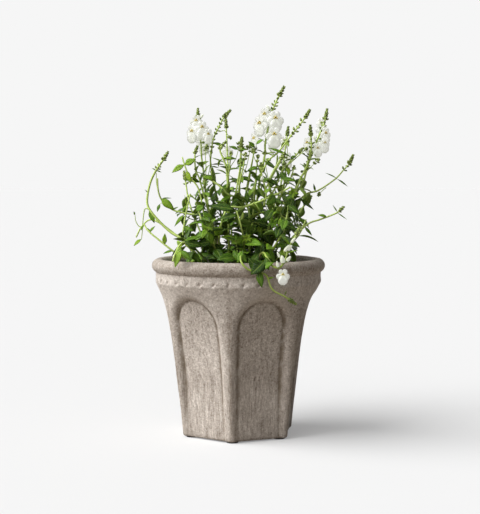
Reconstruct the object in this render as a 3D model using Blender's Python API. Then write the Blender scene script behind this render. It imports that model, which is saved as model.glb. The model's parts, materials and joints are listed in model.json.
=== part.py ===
"""A cast planter on six pads, hexagonal at the foot and round at the rim, planted with a white
flowering plant. Metres, +Z up, the origin on the floor under the middle of the pot. One corner of
the hexagon points along -Y."""

import math

import bmesh
import bpy
import numpy as np
from mathutils import Matrix, Vector
from mathutils.bvhtree import BVHTree

MM = 0.001
FIT_GAP = 0.0003

# The pot, from its foot to its rolled rim.
POT_HEIGHT = 0.245
PAD_HEIGHT = 0.003
PAD_RADIUS = 0.008
PAD_INSET = 0.013
PAD_STEPS = 16
BASE_RADIUS = 0.0822
BASE_EDGE = 0.0028
BAND_DROP = 0.0325
BAND_STEP = 0.0035
BAND_RADIUS = 0.1147
ROLL_RADIUS = 0.0095
ROLL_OVERHANG = 0.0055
POT_STEPS = 48
ROLL_STEPS = 9

# The flare of the wall between its foot edge and the band: the share of the way up, the share of the
# way out, and how sharp the corners are there. 4 is a circle, and 26 a hexagon with tight corners.
FLARE = (
    (0.12, 0.09, 26.0),
    (0.26, 0.22, 26.0),
    (0.42, 0.355, 19.0),
    (0.54, 0.46, 14.0),
    (0.66, 0.585, 11.5),
    (0.745, 0.685, 10.0),
    (0.825, 0.77, 7.6),
    (0.875, 0.83, 6.4),
    (0.92, 0.895, 5.5),
    (0.965, 0.95, 4.5),
)
BASE_SHARPNESS = 26.0
ROUND_SHARPNESS = 4.0

# The sunk panels, one on each face of the hexagon and open at the foot.
PANEL_DEPTH = 0.0055
PANEL_FOOT_WIDTH = 0.057
PANEL_TOP_WIDTH = 0.066
PANEL_CROWN_DROP = 0.0215
PANEL_ARC_STEPS = 12

# The hollow, as shares of the way up from the floor and of the way out from the floor to the mouth.
WALL_THICKNESS = 0.0126
FLOOR_THICKNESS = 0.0142
HOLLOW_FLARE = ((0.38, 0.17), (0.645, 0.345), (0.795, 0.54), (0.90, 0.80))
DRAIN_RADIUS = 0.015
SCREEN_RADIUS = 0.022
SCREEN_THICKNESS = 0.0015
SCREEN_STEPS = 32
GRAVEL_DEPTH = 0.0275
HEADSPACE = 0.023

# The plant. It faces the side that is seen, which is a little round from the pot's corner.
PLANT_TURN = math.radians(6.5)
STEM_WIDTH = 0.0030
SHOOT_WIDTH = 0.0022
TIP_SHARE = 0.55
NODE_SPACING = 0.036
NODE_HEIGHT = 0.0030
STEM_GAP = 0.0022
LEAF_LENGTH = 0.030
LEAF_WIDTH = 0.0135
LEAF_THICKNESS = 0.0010
LEAF_GAP = 0.0005
TOP_LEAF_SHARE = 0.45
TOP_LEAF_NARROWING = 0.30
LEAF_DROOP = math.radians(38)
BUD_LENGTH = 0.0095
BUD_WIDTH = 0.0045
BUD_STRETCH = 0.040
BUD_SPACING = 0.013
FLORET_LENGTH = 0.021
FLORET_WIDTH = 0.0155
FLORET_THICKNESS = 0.0022
WHORL_SPACING = 0.0095
OPEN_SHARE = 0.6
REACH_ACROSS = 0.1590
REACH_DEEP = 0.1285
REACH_UP = 0.238

# Along a leaf, a bud or a floret: how far out each ring is, and how wide, as shares of the whole.
LEAF_RINGS = ((0.38, 1.0), (0.72, 0.70), (1.0, 0.07))
BUD_RINGS = ((0.45, 1.0), (1.0, 0.35))
FLORET_RINGS = ((0.30, 0.35), (0.58, 1.0), (1.0, 0.55))

# Ways that a leaf may turn to find room: its rise from level, its swing to one side, its size.
LEAF_TRIES = tuple(
    (math.radians(rise), math.radians(swing), size)
    for size in (1.0, 0.75, 0.55)
    for rise in (38, 62, 14, -12)
    for swing in (0, 24, -24)
)

# The stems' routes in millimetres: across, toward the seen side, and up from the top of the rim. A
# route starts on the soil, so its first point has no height. After the name comes the length at its end
# that is a flower spike, and then how leafy it is. The routes are drawn for a rim, a reach and a height
# of the sizes here, and spread with the rim of the pot and with the reach and height of the plant.
ROUTES_RIM = 120.2
ROUTES_ACROSS = 159.0
ROUTES_UP = 238.0
ROUTES = (
    ("stem_left_arch", 0, 1.0, ((-30, 10), (-56, 0, 3), (-79, -10, 26), (-98, -20, 38), (-121, -30, 61),
     (-129, -35, 77), (-125, -35, 103), (-116, -30, 122), (-106, -25, 136), (-99, -20, 147))),
    ("stem_left_middle", 0, 1.0, ((-22, -5), (-35, -8, 20), (-46, -12, 55), (-73, -15, 62), (-92, -18, 67),
     (-107, -20, 80), (-112, -15, 94), (-113, -12, 111))),
    ("stem_left_upright", 0, 1.0, ((-40, 15), (-62, 22, 12), (-75, 25, 31), (-74, 25, 49), (-72, 22, 62),
     (-66, 20, 90))),
    ("stem_left_low", 0, 1.0, ((-38, 26), (-64, 24, -4), (-87, 20, 9), (-108, 15, 25), (-124, 10, 38),
     (-131, 5, 48))),
    ("stem_left_far", 0, 1.0, ((-36, -14), (-68, -26, 12), (-98, -42, 38), (-124, -56, 52), (-139, -68, 42),
     (-148, -76, 26))),
    ("stem_front_left", 0, 1.0, ((-30, 36), (-50, 54, 7), (-66, 70, 23), (-76, 84, 24), (-83, 99, 12),
     (-86, 106, 2))),
    ("stem_leaf_pair", 0, 1.0, ((-14, 16), (-43, 22, 47), (-54, 22, 95), (-67, 20, 113), (-74, 18, 130),
     (-77, 16, 140))),
    ("stem_flowers_1", 46, 0.6, ((-10, -10), (-41, -5, 63), (-46, -5, 94), (-48, -5, 116), (-51, -5, 140),
     (-52, -4, 161), (-55, -4, 183), (-56, -4, 206))),
    ("stem_bowed", 0, 0.5, ((-18, 0), (-40, 6, 63), (-48, 6, 89), (-54, 6, 111), (-59, 6, 123),
     (-60, 6, 143), (-57, 5, 154))),
    ("stem_buds_left", 0, 0.5, ((-4, -18), (-32, -20, 93), (-36, -20, 108), (-39, -20, 135), (-38, -20, 146),
     (-35, -20, 166), (-28, -20, 181), (-21, -20, 195), (-12, -18, 205))),
    ("stem_middle", 0, 0.8, ((-12, 22), (-14, 26, 82), (-16, 26, 123), (-22, 26, 141), (-25, 26, 151),
     (-18, 26, 160))),
    ("stem_middle_bud", 0, 0.8, ((12, -26), (2, -28, 82), (3, -28, 130), (5, -28, 167))),
    ("stem_crossing", 0, 0.7, ((14, 28), (16, 40, 50), (10, 42, 79), (0, 42, 85), (-13, 42, 89),
     (-25, 40, 100), (-36, 38, 108), (-46, 36, 112))),
    ("stem_front_bright", 0, 0.7, ((-22, 42), (-26, 52, 30), (-15, 56, 69), (6, 56, 72), (27, 56, 79),
     (43, 55, 86), (59, 54, 93), (70, 52, 99))),
    ("stem_flowers_2", 84, 0.6, ((10, -16), (26, -15, 79), (30, -15, 108), (37, -15, 144), (37, -15, 155),
     (39, -15, 167), (44, -15, 193), (51, -14, 214), (63, -12, 237))),
    ("stem_buds_right", 0, 0.5, ((18, -6), (23, 5, 95), (33, 5, 120), (43, 5, 137), (55, 5, 147),
     (73, 5, 170), (91, 5, 193), (98, 5, 204))),
    ("stem_zigzag", 0, 0.8, ((24, 10), (48, 20, 68), (46, 20, 83), (44, 20, 95), (42, 20, 107), (53, 20, 129),
     (63, 20, 145))),
    ("stem_right_middle", 0, 0.8, ((28, -2), (58, -5, 82), (65, -5, 109), (68, -5, 129), (89, -5, 152))),
    ("stem_flowers_3", 42, 0.6, ((24, -20), (67, -20, 67), (76, -20, 82), (90, -20, 104), (93, -20, 112),
     (98, -20, 131), (106, -20, 152), (111, -20, 166), (120, -20, 187), (124, -20, 206))),
    ("stem_buds_far", 0, 0.5, ((32, -12), (72, -5, 75), (83, -5, 101), (87, -5, 112), (93, -5, 123),
     (101, -5, 150), (101, -5, 165), (100, -5, 183))),
    ("stem_right_far", 0, 0.7, ((36, 2), (64, -16, 50), (92, -30, 86), (111, -35, 93), (125, -40, 101),
     (140, -45, 112), (149, -48, 122), (158, -50, 132), (163, -50, 143))),
    ("stem_right_low", 0, 0.9, ((38, 14), (66, 18, 20), (94, 20, 47), (111, 20, 54), (122, 20, 58),
     (136, 20, 64), (144, 20, 71))),
    ("stem_flowers_4", 62, 0.3, ((22, 46), (28, 78, 5), (33, 100, 13), (39, 119, 5), (46, 124, -4),
     (55, 123, -4), (61, 118, 5), (66, 111, 20), (73, 103, 31), (81, 93, 46))),
    ("stem_front_trailing", 0, 1.0, ((0, 52), (2, 80, 6), (3, 104, 14), (4, 122, 2), (14, 124, -8),
     (27, 122, -11), (37, 120, -16), (42, 117, -30), (48, 114, -37), (61, 109, -44), (75, 101, -54))),
    ("stem_front_1", 0, 1.2, ((-12, 34), (-30, 60, 15), (-45, 70, 45), (-55, 66, 73))),
    ("stem_front_2", 0, 1.2, ((6, 38), (8, 62, 17), (4, 74, 45), (-2, 72, 67))),
    ("stem_front_3", 0, 1.2, ((24, 32), (45, 56, 13), (60, 66, 40), (66, 62, 65))),
    ("stem_front_4", 0, 1.2, ((32, 26), (62, 40, 11), (82, 46, 35), (92, 42, 55))),
    ("stem_back_1", 0, 1.0, ((-30, -22), (-52, -40, 30), (-70, -60, 75), (-78, -74, 120))),
    ("stem_back_2", 0, 1.0, ((-22, -32), (-36, -60, 35), (-46, -90, 85), (-50, -110, 115))),
    ("stem_flowers_5", 44, 0.8, ((-8, -34), (-10, -66, 40), (-14, -84, 105), (-16, -90, 150),
     (-18, -94, 196))),
    ("stem_back_3", 0, 1.0, ((8, -36), (14, -60, 35), (20, -90, 80), (24, -116, 100))),
    ("stem_flowers_6", 44, 0.8, ((22, -34), (44, -56, 35), (60, -70, 95), (66, -75, 140), (72, -78, 184))),
    ("stem_back_4", 0, 1.0, ((36, -24), (66, -44, 30), (90, -66, 65), (106, -86, 85))),
    ("stem_back_trailing", 0, 1.0, ((2, -50), (4, -80, 7), (6, -104, 14), (10, -122, 0), (14, -124, -25),
     (18, -122, -44))),
)
BUD_STEMS = ("stem_buds_left", "stem_buds_right", "stem_buds_far", "stem_left_arch", "stem_right_far")
SPAN_STEPS = 12
SAMPLES = 36
PUSH_ROUNDS = 60
PUSH_SHARE = 0.5
PUSH_SMOOTHING = 3

# What follows from the sizes above.
POT_FOOT = PAD_HEIGHT + FIT_GAP
FLOOR_TOP = POT_FOOT + FLOOR_THICKNESS
BAND_FOOT = POT_HEIGHT - BAND_DROP
SOIL_TOP = POT_HEIGHT - HEADSPACE
GRAVEL_TOP = FLOOR_TOP + GRAVEL_DEPTH
PANEL_CROWN = BAND_FOOT - PANEL_CROWN_DROP
RIM_RADIUS = BAND_RADIUS + ROLL_OVERHANG
ROLL_CENTRE = (RIM_RADIUS - ROLL_RADIUS, POT_HEIGHT - ROLL_RADIUS)
MOUTH_RADIUS = ROLL_CENTRE[0] - ROLL_RADIUS
CORNER_TURN = math.radians(-90)
SIDE_TURN = math.radians(60)
FACE_TURNS = tuple(CORNER_TURN + SIDE_TURN * (side + 0.5) for side in range(6))


def material(name, colour, roughness, metallic=0.0):
    made = bpy.data.materials.new(name)
    made.use_nodes = True
    shader = made.node_tree.nodes["Principled BSDF"]
    shader.inputs["Base Color"].default_value = (*colour, 1.0)
    shader.inputs["Roughness"].default_value = roughness
    shader.inputs["Metallic"].default_value = metallic
    return made


def add_object(name, bm, finish=None, parent=None, crease=30):
    """Turns a bmesh into a named object, shaded smooth except at its creases."""
    bmesh.ops.recalc_face_normals(bm, faces=bm.faces)
    mesh = bpy.data.meshes.new(name)
    bm.to_mesh(mesh)
    bm.free()
    mesh.shade_smooth()
    mesh.set_sharp_from_angle(angle=math.radians(crease))
    made = bpy.data.objects.new(name, mesh)
    bpy.context.collection.objects.link(made)
    if finish is not None:
        mesh.materials.append(finish)
    made.parent = parent
    return made


def add_helper(name, bm):
    """A cutter: it shapes another piece and is no piece itself."""
    made = add_object(name, bm)
    made.hide_render = True
    made.display_type = "WIRE"
    return made


def cut(piece, name, cutter):
    modifier = piece.modifiers.new(name, "BOOLEAN")
    modifier.operation = "DIFFERENCE"
    modifier.solver = "EXACT"
    modifier.object = cutter


def turned(profile, closed_loop):
    """Spins a profile of (radius, height) points once round the Z axis."""
    bm = bmesh.new()
    points = [bm.verts.new((radius, 0.0, height)) for radius, height in profile]
    ends = points[1:] + points[:1] if closed_loop else points[1:]
    for start, end in zip(points, ends):
        bm.edges.new((start, end))
    bmesh.ops.spin(
        bm, geom=bm.verts[:] + bm.edges[:], cent=(0, 0, 0), axis=(0, 0, 1),
        angle=math.tau, steps=POT_STEPS, use_merge=True,
    )
    bmesh.ops.remove_doubles(bm, verts=bm.verts, dist=MM * 0.001)
    return bm


def corner_share(turn, sharpness):
    """The radius of a soft hexagon at this turn, as a share of its radius at the corners."""
    def reach(angle):
        total = sum(max(0.0, math.cos(angle - face)) ** sharpness for face in FACE_TURNS)
        return total ** (-1.0 / sharpness)
    return reach(turn) / reach(CORNER_TURN)


def wall_outline(foot):
    """The outer wall from this foot height to the band, as (height, radius at the corners, sharpness)."""
    edge = POT_FOOT + BASE_EDGE
    top_radius = BAND_RADIUS - BAND_STEP
    outline = [(foot, BASE_RADIUS - BASE_EDGE, BASE_SHARPNESS)]
    outline.append((foot + BASE_EDGE, BASE_RADIUS, BASE_SHARPNESS))
    for up, out, sharpness in FLARE:
        height = edge + (BAND_FOOT - edge) * up
        outline.append((height, BASE_RADIUS + (top_radius - BASE_RADIUS) * out, sharpness))
    outline.append((BAND_FOOT, top_radius, ROUND_SHARPNESS))
    return outline


def shape_to_hexagon(bm, outline, inset=0.0):
    """Draws the turned outer wall in from its corner radius to the soft hexagon."""
    for height, radius, sharpness in outline:
        for vert in bm.verts:
            across = math.hypot(vert.co.x, vert.co.y)
            if abs(vert.co.z - height) > MM * 0.01 or abs(across - radius) > MM * 0.01:
                continue
            share = corner_share(math.atan2(vert.co.y, vert.co.x), sharpness)
            vert.co.xy *= share - inset / radius


def hollow_outline():
    """The hollow from its floor to the mouth, as (radius, height)."""
    floor_radius = BASE_RADIUS * corner_share(FACE_TURNS[0], BASE_SHARPNESS) - PANEL_DEPTH - WALL_THICKNESS
    outline = [(floor_radius, FLOOR_TOP)]
    for up, out in HOLLOW_FLARE:
        outline.append((
            floor_radius + (MOUTH_RADIUS - floor_radius) * out,
            FLOOR_TOP + (ROLL_CENTRE[1] - FLOOR_TOP) * up,
        ))
    outline.append((MOUTH_RADIUS, ROLL_CENTRE[1]))
    return outline


def hollow_plug(foot, top):
    """A turned plug that fills the hollow between two heights, with a gap all round."""
    radii, heights = zip(*hollow_outline())
    levels = [foot, *(height for height in heights if foot < height < top), top]
    profile = [(0.0, foot)]
    profile += [(float(np.interp(level, heights, radii)) - FIT_GAP * 2, level) for level in levels]
    profile.append((0.0, top))
    return turned(profile, closed_loop=False)


def roll_points():
    """The rolled rim, from under its overhang, over the top and down into the mouth."""
    under = -math.acos((BAND_RADIUS - ROLL_CENTRE[0]) / ROLL_RADIUS)
    for turn in np.linspace(under, math.pi, ROLL_STEPS + 1):
        yield (
            ROLL_CENTRE[0] + ROLL_RADIUS * math.cos(turn),
            ROLL_CENTRE[1] + ROLL_RADIUS * math.sin(turn),
        )


def panel_outline():
    """The arched outline of a panel as (across, height), from below the foot of the pot."""
    foot = POT_FOOT - PANEL_TOP_WIDTH / 4
    half_foot = PANEL_FOOT_WIDTH / 2
    half_top = PANEL_TOP_WIDTH / 2
    spring = PANEL_CROWN - half_top
    points = [(-half_foot, foot), (half_foot, foot)]
    for turn in np.linspace(0.0, math.pi, PANEL_ARC_STEPS + 1):
        points.append((half_top * math.cos(turn), spring + half_top * math.sin(turn)))
    return points


def make_panel_cutter():
    """Six arched blocks, one before each face, hollowed so that they reach only the panel's depth."""
    bm = bmesh.new()
    for face_turn in FACE_TURNS:
        sides = [
            bm.verts.new((BASE_RADIUS / 2, across, height)) for across, height in panel_outline()
        ]
        block = bm.faces.new(sides)
        grown = bmesh.ops.extrude_face_region(bm, geom=[block])["geom"]
        outer = [item for item in grown if isinstance(item, bmesh.types.BMVert)]
        bmesh.ops.translate(bm, verts=outer, vec=(RIM_RADIUS, 0, 0))
        bmesh.ops.rotate(bm, verts=sides + outer, matrix=Matrix.Rotation(face_turn, 3, "Z"))
    cutter = add_helper("panel_cutter", bm)

    below = POT_FOOT - PANEL_TOP_WIDTH / 2
    outline = wall_outline(below)
    profile = [(0.0, below)] + [(radius, height) for height, radius, _ in outline] + [(0.0, BAND_FOOT)]
    core = turned(profile, closed_loop=False)
    shape_to_hexagon(core, outline, inset=PANEL_DEPTH)
    cut(cutter, "behind the panels", add_helper("panel_core", core))
    return cutter


def make_shell(finish):
    outline = wall_outline(POT_FOOT)
    profile = [(DRAIN_RADIUS, POT_FOOT)]
    profile += [(radius, height) for height, radius, _ in outline]
    profile.append((BAND_RADIUS, BAND_FOOT + BAND_STEP))
    profile += roll_points()
    profile += reversed(hollow_outline()[:-1])
    profile.append((DRAIN_RADIUS, FLOOR_TOP))
    bm = turned(profile, closed_loop=True)
    shape_to_hexagon(bm, outline)
    shell = add_object("planter_shell", bm, finish)
    cut(shell, "sunk panels", make_panel_cutter())


def make_pads(finish):
    for number in range(6):
        bm = bmesh.new()
        bmesh.ops.create_cone(
            bm, cap_ends=True, segments=PAD_STEPS, radius1=PAD_RADIUS, radius2=PAD_RADIUS, depth=PAD_HEIGHT,
        )
        pad = add_object(f"foot_pad_{number + 1}", bm, finish)
        turn = CORNER_TURN + SIDE_TURN * number
        reach = BASE_RADIUS - PAD_INSET
        pad.location = (reach * math.cos(turn), reach * math.sin(turn), PAD_HEIGHT / 2)


def make_drainage(screen_finish, gravel_finish):
    screen_foot = FLOOR_TOP + FIT_GAP
    bm = bmesh.new()
    bmesh.ops.create_cone(
        bm, cap_ends=True, segments=SCREEN_STEPS, radius1=SCREEN_RADIUS, radius2=SCREEN_RADIUS,
        depth=SCREEN_THICKNESS,
    )
    screen = add_object("drain_screen", bm, screen_finish)
    screen.location.z = screen_foot + SCREEN_THICKNESS / 2
    gravel_foot = screen_foot + SCREEN_THICKNESS + FIT_GAP
    add_object("gravel_layer", hollow_plug(gravel_foot, GRAVEL_TOP), gravel_finish)


def spread_evenly(points, count):
    """Points evenly spaced along a line of points."""
    steps = np.linalg.norm(np.diff(points, axis=0), axis=1)
    along = np.concatenate([[0.0], np.cumsum(steps)])
    wanted = np.linspace(0.0, along[-1], count)
    return np.stack([np.interp(wanted, along, points[:, axis]) for axis in range(3)], axis=1)


def smooth_route(route):
    """A smooth curve in metres through the points of a route, from the soil to its tip."""
    wide = REACH_ACROSS / ROUTES_ACROSS
    deep = RIM_RADIUS / ROUTES_RIM
    tall = REACH_UP / ROUTES_UP
    across, toward = route[0]
    points = [(across * wide, -toward * deep, SOIL_TOP + FIT_GAP)]
    for across, toward, up in route[1:]:
        points.append((across * wide, -toward * deep, POT_HEIGHT + up * tall))
    points = np.array(points)
    ends = np.concatenate([[2 * points[0] - points[1]], points, [2 * points[-1] - points[-2]]])
    curve = []
    for before, start, end, after in zip(ends, ends[1:], ends[2:], ends[3:]):
        for t in np.linspace(0.0, 1.0, SPAN_STEPS, endpoint=False):
            curve.append(
                start + 0.5 * t * (end - before)
                + t**2 * (before - 2.5 * start + 2 * end - 0.5 * after)
                + t**3 * (1.5 * (start - end) + 0.5 * (after - before))
            )
    curve.append(points[-1])
    return spread_evenly(np.array(curve), SAMPLES)


def push_apart(curves):
    """Moves stems sideways, a little at a time, until each clears its neighbours."""
    curves = np.stack(curves)
    clear = STEM_WIDTH * math.sqrt(2) + STEM_GAP
    owner = np.repeat(np.arange(len(curves)), SAMPLES)
    for _ in range(PUSH_ROUNDS):
        points = curves.reshape(-1, 3)
        apart = points[:, None] - points[None]
        distance = np.linalg.norm(apart, axis=2)
        distance[owner[:, None] == owner[None]] = 1.0
        short = np.clip(clear - distance, 0.0, None)
        away = apart / np.maximum(distance, MM * 0.1)[..., None]
        away[..., 2] = 0.0
        push = (away * short[..., None]).sum(axis=1).reshape(curves.shape) * PUSH_SHARE
        for _ in range(PUSH_SMOOTHING):
            push[:, 1:-1] = (push[:, :-2] + 2 * push[:, 1:-1] + push[:, 2:]) / 4
        curves += push
    return list(curves)


def extrude_ring(bm, face, centre, side, normal, width, thickness, signs):
    """Extrudes a four-sided face to a new ring and returns the new end face."""
    end = bmesh.ops.extrude_discrete_faces(bm, faces=[face])["faces"][0]
    for vert, (across, over) in zip(end.verts, signs):
        vert.co = centre + side * (across * width / 2) + normal * (over * thickness / 2)
    return end


def corner_signs(face, side, normal):
    """Which way each corner of a face lies from its middle, along the side and along the normal."""
    middle = face.calc_center_median()
    return [
        (math.copysign(1, (v.co - middle).dot(side)), math.copysign(1, (v.co - middle).dot(normal)))
        for v in face.verts
    ]


def ring_frames(curve, places, upright_foot):
    """Centre, direction, side and normal at each place along a curve, turned with it and not twisted. An
    upright foot stands square on the soil."""
    steps = np.linalg.norm(np.diff(curve, axis=0), axis=1)
    along = np.concatenate([[0.0], np.cumsum(steps)])

    def point_at(place):
        return Vector([np.interp(place, along, curve[:, axis]) for axis in range(3)])

    frames = []
    side = Vector((1, 0, 0))
    for index, place in enumerate(places):
        direction = (point_at(place + NODE_HEIGHT) - point_at(place - NODE_HEIGHT)).normalized()
        if index == 0 and upright_foot:
            direction = Vector((0, 0, 1))
        side = (side - direction * side.dot(direction)).normalized()
        frames.append((point_at(place), direction, side, direction.cross(side)))
    return frames


def stem_places(start, end, spacing):
    """Where the rings of a stretch of stem are, and which of them start a node that bears leaves or buds."""
    count = max(1, round((end - start) / spacing))
    places = [start]
    nodes = []
    for number in range(count):
        node = start + (end - start) * (number + 0.8) / (count + 0.8)
        nodes.append(len(places))
        places += [node - NODE_HEIGHT, node]
    places.append(end)
    return places, nodes


def build_stem(curve, places, foot_width, tip_width, upright_foot):
    """A square stem, as these plants have, made by drawing a face along the route. It returns the bmesh,
    the frame of each ring and the four side faces of each stretch."""
    frames = ring_frames(curve, places, upright_foot)
    bm = bmesh.new()
    centre, _, side, normal = frames[0]
    signs = ((-1, -1), (1, -1), (1, 1), (-1, 1))
    foot = bm.faces.new([
        bm.verts.new(centre + side * (across * foot_width / 2) + normal * (over * foot_width / 2))
        for across, over in signs
    ])
    foot.copy()
    stretches = []
    top = foot
    for place, (centre, _, side, normal) in zip(places[1:], frames[1:]):
        share = (place - places[0]) / (places[-1] - places[0])
        width = foot_width + (tip_width - foot_width) * share
        top = extrude_ring(bm, top, centre, side, normal, width, width, signs)
        stretches.append([
            next(face for face in edge.link_faces if face is not top) for edge in top.edges
        ])
    bmesh.ops.remove_doubles(bm, verts=bm.verts, dist=MM * 0.001)
    return bm, frames, stretches


def limb_rings(foot, outward, along, rings, length, width, thickness, rise, droop, swell=0.0):
    """The rings of a leaf, bud or floret as (centre, side, normal, width, thickness)."""
    side = along.cross(outward).normalized()
    made = []
    for share, width_share in rings:
        angle = rise - droop * share
        direction = outward * math.cos(angle) + along * math.sin(angle)
        centre = foot + direction * (length * share + swell)
        normal = direction.cross(side)
        made.append((centre, side, normal, width * width_share + 2 * swell, thickness + 2 * swell))
    return made


def ring_box(centre, side, normal, width, thickness):
    return [
        centre + side * (across * width / 2) + normal * (over * thickness / 2)
        for across, over in ((-1, -1), (1, -1), (1, 1), (-1, 1))
    ]


def within_reach(points):
    """Whether points keep inside the plant's reach, and clear of the soil and of the rim, which the plant
    has to pass as it lifts out."""
    turn = Matrix.Rotation(PLANT_TURN, 3, "Z")
    for point in points:
        seen = turn @ point
        out = math.hypot(point.x, point.y)
        if abs(seen.x) > REACH_ACROSS or abs(seen.y) > REACH_DEEP or point.z > POT_HEIGHT + REACH_UP:
            return False
        if out < RIM_RADIUS + LEAF_GAP and point.z < SOIL_TOP + LEAF_GAP:
            return False
        if MOUTH_RADIUS - ROLL_RADIUS < out < RIM_RADIUS + LEAF_GAP * 2 and point.z < POT_HEIGHT + LEAF_GAP:
            return False
    return True


class Plant:
    """Grows the stems and keeps a list of the room that is taken."""

    def __init__(self, pivot, leaf_finish, petal_finish):
        self.pivot = pivot
        self.leaf_finish = leaf_finish
        self.petal_finish = petal_finish
        self.taken = []

    def has_room(self, name, rings):
        corners = [corner for ring in rings for corner in ring_box(*ring)]
        if not within_reach(corners):
            return False
        sides = []
        for start in range(0, len(corners) - 4, 4):
            for edge in range(4):
                after = (edge + 1) % 4
                sides.append((start + edge, start + after, start + 4 + after, start + 4 + edge))
        sides += [(0, 1, 2, 3), tuple(range(len(corners) - 4, len(corners)))]
        tree = BVHTree.FromPolygons(corners, sides)
        if any(owner != name and tree.overlap(other) for owner, other in self.taken):
            return False
        self.taken.append((name + " limb", tree))
        return True

    def add_limb(self, name, bm, face, axis_point, along, rings, size, droop):
        """Draws a leaf, bud or floret out of a side face of a stem, the first way that it has room."""
        length, width, thickness = size
        middle = face.calc_center_median()
        outward = middle - axis_point
        outward = (outward - along * outward.dot(along)).normalized()
        for rise, swing, share in LEAF_TRIES:
            swung = Matrix.Rotation(swing, 3, along) @ outward
            shape = (rings, length * share, width * share, thickness, rise, droop)
            side = along.cross(outward).normalized()
            foot_ring = (middle, side, along, SHOOT_WIDTH, NODE_HEIGHT)
            room = [foot_ring, *limb_rings(middle, swung, along, *shape, swell=LEAF_GAP)]
            if not self.has_room(name, room):
                continue
            signs = corner_signs(face, side, along)
            for ring in limb_rings(middle, swung, along, *shape):
                face = extrude_ring(bm, face, *ring, signs)
            return

    def leaf_size(self, share):
        """Leaves are broad low on a stem and small and narrow near its tip."""
        length = LEAF_LENGTH * (1 + (TOP_LEAF_SHARE - 1) * share)
        width = LEAF_WIDTH * (1 + (TOP_LEAF_NARROWING - 1) * share)
        return (length, width, LEAF_THICKNESS)

    def bear(self, name, made, nodes, kind):
        """Gives each node of a stretch of stem a pair of limbs, each pair square to the one below."""
        bm, frames, stretches = made
        for number, ring in enumerate(nodes):
            centre, along, _, _ = frames[ring]
            share = number / max(1, len(nodes) - 1)
            first = number % 2
            for face in (stretches[ring][first], stretches[ring][first + 2]):
                if kind == "leaves":
                    size = self.leaf_size(share)
                    self.add_limb(name, bm, face, centre, along, LEAF_RINGS, size, LEAF_DROOP)
                elif kind == "flowers" and share < OPEN_SHARE:
                    size = (FLORET_LENGTH, FLORET_WIDTH, FLORET_THICKNESS)
                    self.add_limb(name, bm, face, centre, along, FLORET_RINGS, size, LEAF_DROOP)
                else:
                    size = (BUD_LENGTH, BUD_WIDTH, BUD_WIDTH)
                    self.add_limb(name, bm, face, centre, along, BUD_RINGS, size, 0.0)

    def grow(self, stems):
        """Sets out every stem first, and then their leaves, so that a leaf finds every stem in its place."""
        waiting = []
        for name, curve, spike, leafiness in stems:
            length = float(np.linalg.norm(np.diff(curve, axis=0), axis=1).sum())
            stem_end = length - spike - FIT_GAP
            buds = BUD_STRETCH if name in BUD_STEMS else 0.0
            places, leaf_nodes = stem_places(0.0, stem_end - buds, NODE_SPACING / leafiness)
            bud_nodes = []
            if buds:
                more, bud_nodes = stem_places(stem_end - buds, stem_end, BUD_SPACING)
                bud_nodes = [node + len(places) - 1 for node in bud_nodes]
                places += more[1:]
            tip = SHOOT_WIDTH if spike else STEM_WIDTH * TIP_SHARE
            made = build_stem(curve, places, STEM_WIDTH, tip, upright_foot=True)
            waiting.append((name, made, leaf_nodes, "leaves"))
            waiting.append((name, made, bud_nodes, "buds"))
            if spike:
                places, nodes = stem_places(length - spike, length, WHORL_SPACING)
                made = build_stem(curve, places, SHOOT_WIDTH, SHOOT_WIDTH * TIP_SHARE, upright_foot=False)
                waiting.append((name.replace("stem", "spike"), made, nodes, "flowers"))
        self.taken = [(name, BVHTree.FromBMesh(made[0])) for name, made, _, _ in waiting]
        for stretch in waiting:
            self.bear(*stretch)
        grown = {name: (made[0], kind) for name, made, _, kind in waiting}
        for name, (bm, kind) in grown.items():
            add_object(name, bm, self.petal_finish if kind == "flowers" else self.leaf_finish, self.pivot)


def main():
    for existing in list(bpy.data.objects):
        bpy.data.objects.remove(existing)
    stone = material("cast stone", (0.46, 0.40, 0.36), 0.9)
    rubber = material("black rubber", (0.02, 0.02, 0.02), 0.7)
    screen = material("screen", (0.08, 0.08, 0.08), 0.6)
    gravel = material("gravel", (0.30, 0.28, 0.26), 0.9)
    soil = material("soil", (0.05, 0.035, 0.025), 1.0)
    leaf = material("leaf", (0.07, 0.16, 0.03), 0.5)
    petal = material("petal", (0.85, 0.85, 0.82), 0.5)

    make_shell(stone)
    make_pads(rubber)
    make_drainage(screen, gravel)

    pivot = bpy.data.objects.new("planting", None)
    bpy.context.collection.objects.link(pivot)
    pivot.rotation_euler.z = PLANT_TURN
    add_object("potting_soil", hollow_plug(GRAVEL_TOP + FIT_GAP, SOIL_TOP), soil, pivot)
    curves = push_apart([smooth_route(route) for _, _, _, route in ROUTES])
    stems = [
        (name, curve, spike * MM, leafiness)
        for (name, spike, leafiness, _), curve in zip(ROUTES, curves)
    ]
    Plant(pivot, leaf, petal).grow(stems)


main()
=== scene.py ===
# %% [markdown]
# # A cast stone planter with a white flowering plant
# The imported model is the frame: it says where each piece is and what lifts out of what. This lesson
# dresses that frame. The pot, the soil, the gravel and every stem get a finer mesh that stands for the
# plain solid, and the small pads and the screen keep their solids and get a proper finish.

# %% Load the frame
import json
import math
import random

import bmesh
import bpy
import numpy as np
from mathutils import Matrix, Vector, noise
from mathutils.bvhtree import BVHTree

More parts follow.
